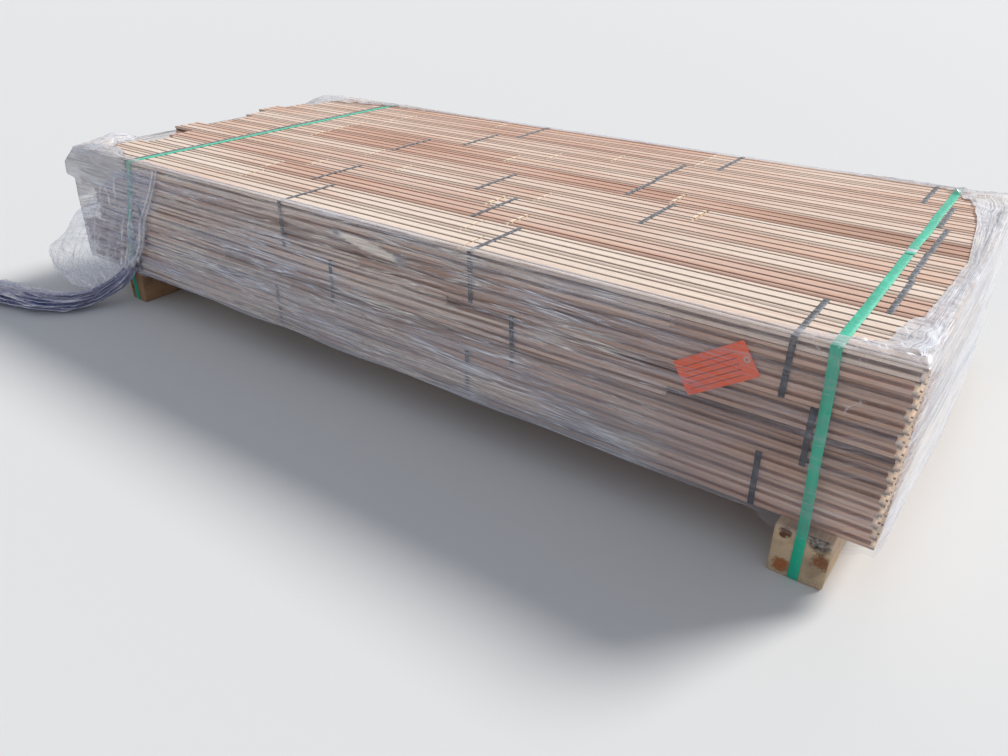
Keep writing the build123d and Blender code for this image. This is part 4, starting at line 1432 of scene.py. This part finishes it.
def ring_material():
    """Stamped steel, a little dull."""
    material, tree = new_material("stamped_steel")
    wear = tree.noise(tree.add("ShaderNodeTexCoord").outputs["Object"], 700.0, 3.0)
    tree.shade({
        "Base Color": tree.blend(wear, colour(150, 148, 142), colour(196, 194, 188)),
        "Roughness": tree.ranged(wear, 0.3, 0.7, 0.3, 0.5), "Metallic": 1.0,
    })
    return material


# The object

def dress_bundles(strap):
    """The boards and their straps, bundle by bundle."""
    oak = oak_material(oak_figure())
    for level, level_name in enumerate(LEVELS):
        for column in range(BUNDLES):
            node = f"{level_name}_bundle_{column + 1}"
            finish_piece(bundle_piece(level, column), oak, "oak", node)
            straps = bundle_straps(level, column)
            if straps is not None:
                finish_piece(straps, strap, "bundle_strap", f"{node}_straps")


def dress_bunks(strap):
    """The two bunks, each with the unit strap that goes round it."""
    timber, knots = sawn_timber(), knot_rings()

    def at(x, z):
        """A place on a bunk's end as the materials read it, in the part's own frame."""
        return (x + SHIFT[0], 0, z)

    finish_piece(
        bunk_piece("timber_right", RIGHT, 61),
        timber_material(
            "pale_timber", timber, knots, at(RIGHT.centre - 0.06, -0.03), colour(216, 190, 156),
            colour(188, 152, 116), 0.45,
            [(at(1.871, 0.018), 0.0125, colour(196, 124, 74), colour(146, 80, 44)),
             (at(1.868, 0.078), 0.0095, colour(120, 74, 48), colour(72, 44, 32)),
             (at(1.925, 0.050), 0.0140, colour(168, 112, 74), colour(96, 60, 40))],
            [(at(1.917, 0.083), 0.019)]),
        "bunk_pale", "bunk_right")
    finish_piece(
        bunk_piece("timber_left", LEFT, 71),
        timber_material(
            "dull_timber", timber, knots, at(LEFT.centre + 0.04, 0.12), colour(176, 140, 104),
            colour(138, 100, 70), 0.6,
            [(at(0.128, 0.030), 0.0090, colour(150, 98, 62), colour(96, 60, 40))]),
        "bunk_dull", "bunk_left")
    finish_piece(
        unit_strap("strap_right_green", RIGHT, True), strap, "unit_strap", "unit_strap_right")
    finish_piece(
        unit_strap("strap_left_green", LEFT, False), strap, "unit_strap", "unit_strap_left")


def dress_film():
    """The wrap, its loose outer layer and its gathered tail."""
    creases = film_creases()
    skin, curtain, tail = film_skin(), loose_curtain(), tail_piece()
    # Each tint is the film's haze with a painted blue reflection in it; the tail's dark tint is
    # also painted shade in its pleats.
    finish_piece(
        skin, film_material("clear_film", creases, colour(196, 192, 206), 0.055, None, 0.032,
                            0.3 * MM), "film", "film_wrap")
    finish_piece(
        curtain, film_material("loose_film", creases, colour(158, 180, 228), 0.09, 0.35, 0.075,
                               0.9 * MM), "film")
    finish_piece(
        tail, film_material("gathered_film", creases, colour(20, 60, 150), 0.66, 0.4, 0.05,
                            1.2 * MM), "film_gathered", "film_tail")


def dress():
    """Makes every piece of the object and gives it its material."""
    weave = strap_weave()
    # The second colour of each strap is its scuffs and its painted sheen.
    dress_bundles(strap_material(
        "dark_strap", weave, colour(9, 11, 20), colour(176, 182, 194), 2.2 * MM, 0.12 * MM))
    dress_bunks(strap_material(
        "green_strap", weave, colour(14, 188, 148), colour(84, 226, 196), 2.6 * MM, 0.18 * MM))
    dress_film()
    finish_piece(tag_piece(), tag_material(), "tag", "tag")
    finish_piece(eyelet_piece(), ring_material(), "eyelet", "tag_eyelet")


# Studio

def studio():
    """A pale floor, a soft key light from behind the near end and a white surround."""
    bpy.ops.mesh.primitive_plane_add(size=60, location=(0, 0, -0.5 * MM))
    floor = bpy.context.object
    floor.name = "studio_floor"
    material, tree = new_material("studio_floor")
    tree.shade({"Base Color": colour(230, 230, 229), "Roughness": 0.9})
    floor.data.materials.append(material)

    world = bpy.data.worlds.new("studio")
    bpy.context.scene.world = world
    world.use_nodes = True
    world.node_tree.nodes.clear()
    tree = FinishTree(world.node_tree)
    ray = tree.add("ShaderNodeLightPath").outputs
    seen = tree.most(ray["Is Camera Ray"], ray["Is Glossy Ray"], ray["Is Transmission Ray"])
    soft = tree.add("ShaderNodeBackground", {"Color": colour(226, 234, 248), "Strength": 0.42})
    plain = tree.add("ShaderNodeBackground", {"Color": (1, 1, 1, 1), "Strength": 0.95})
    mixed = tree.add("ShaderNodeMixShader", {0: seen, 1: soft.outputs[0], 2: plain.outputs[0]})
    tree.add("ShaderNodeOutputWorld", {0: mixed.outputs[0]})

    key = bpy.data.lights.new("key", "SUN")
    key.energy = 3.1
    key.angle = math.radians(16)
    key.color = (1.0, 0.98, 0.95)
    lamp = bpy.data.objects.new("key", key)
    lamp.rotation_euler = Vector((-0.407, -0.642, -0.649)).to_track_quat("-Z", "Y").to_euler()
    bpy.context.scene.collection.objects.link(lamp)


def photo_camera():
    """The camera as the stack's edges place it: 35.8 degrees round to the near end's side,
    looking 29.2 degrees down. The lens comes from its reach in pixels and the photograph's
    width."""
    camera = bpy.data.cameras.new("photo_camera")
    camera.sensor_width = 36
    camera.lens = 780.2 / 1008 * camera.sensor_width
    camera.clip_end = 200
    eye = bpy.data.objects.new("photo_camera", camera)
    turn, down, roll = math.radians(35.83), math.radians(29.19), math.radians(0.26)
    matrix = Matrix.Rotation(turn, 4, "Z") @ Matrix.Rotation(math.pi / 2 - down, 4, "X")
    matrix = matrix @ Matrix.Rotation(roll, 4, "Z")
    matrix.translation = Vector((2.055, -0.989, 0.837)) + Vector(SHIFT)
    eye.matrix_world = matrix
    bpy.context.scene.collection.objects.link(eye)
    bpy.context.scene.camera = eye


dress()
studio()
photo_camera()
bpy.context.scene.view_settings.view_transform = "Standard"
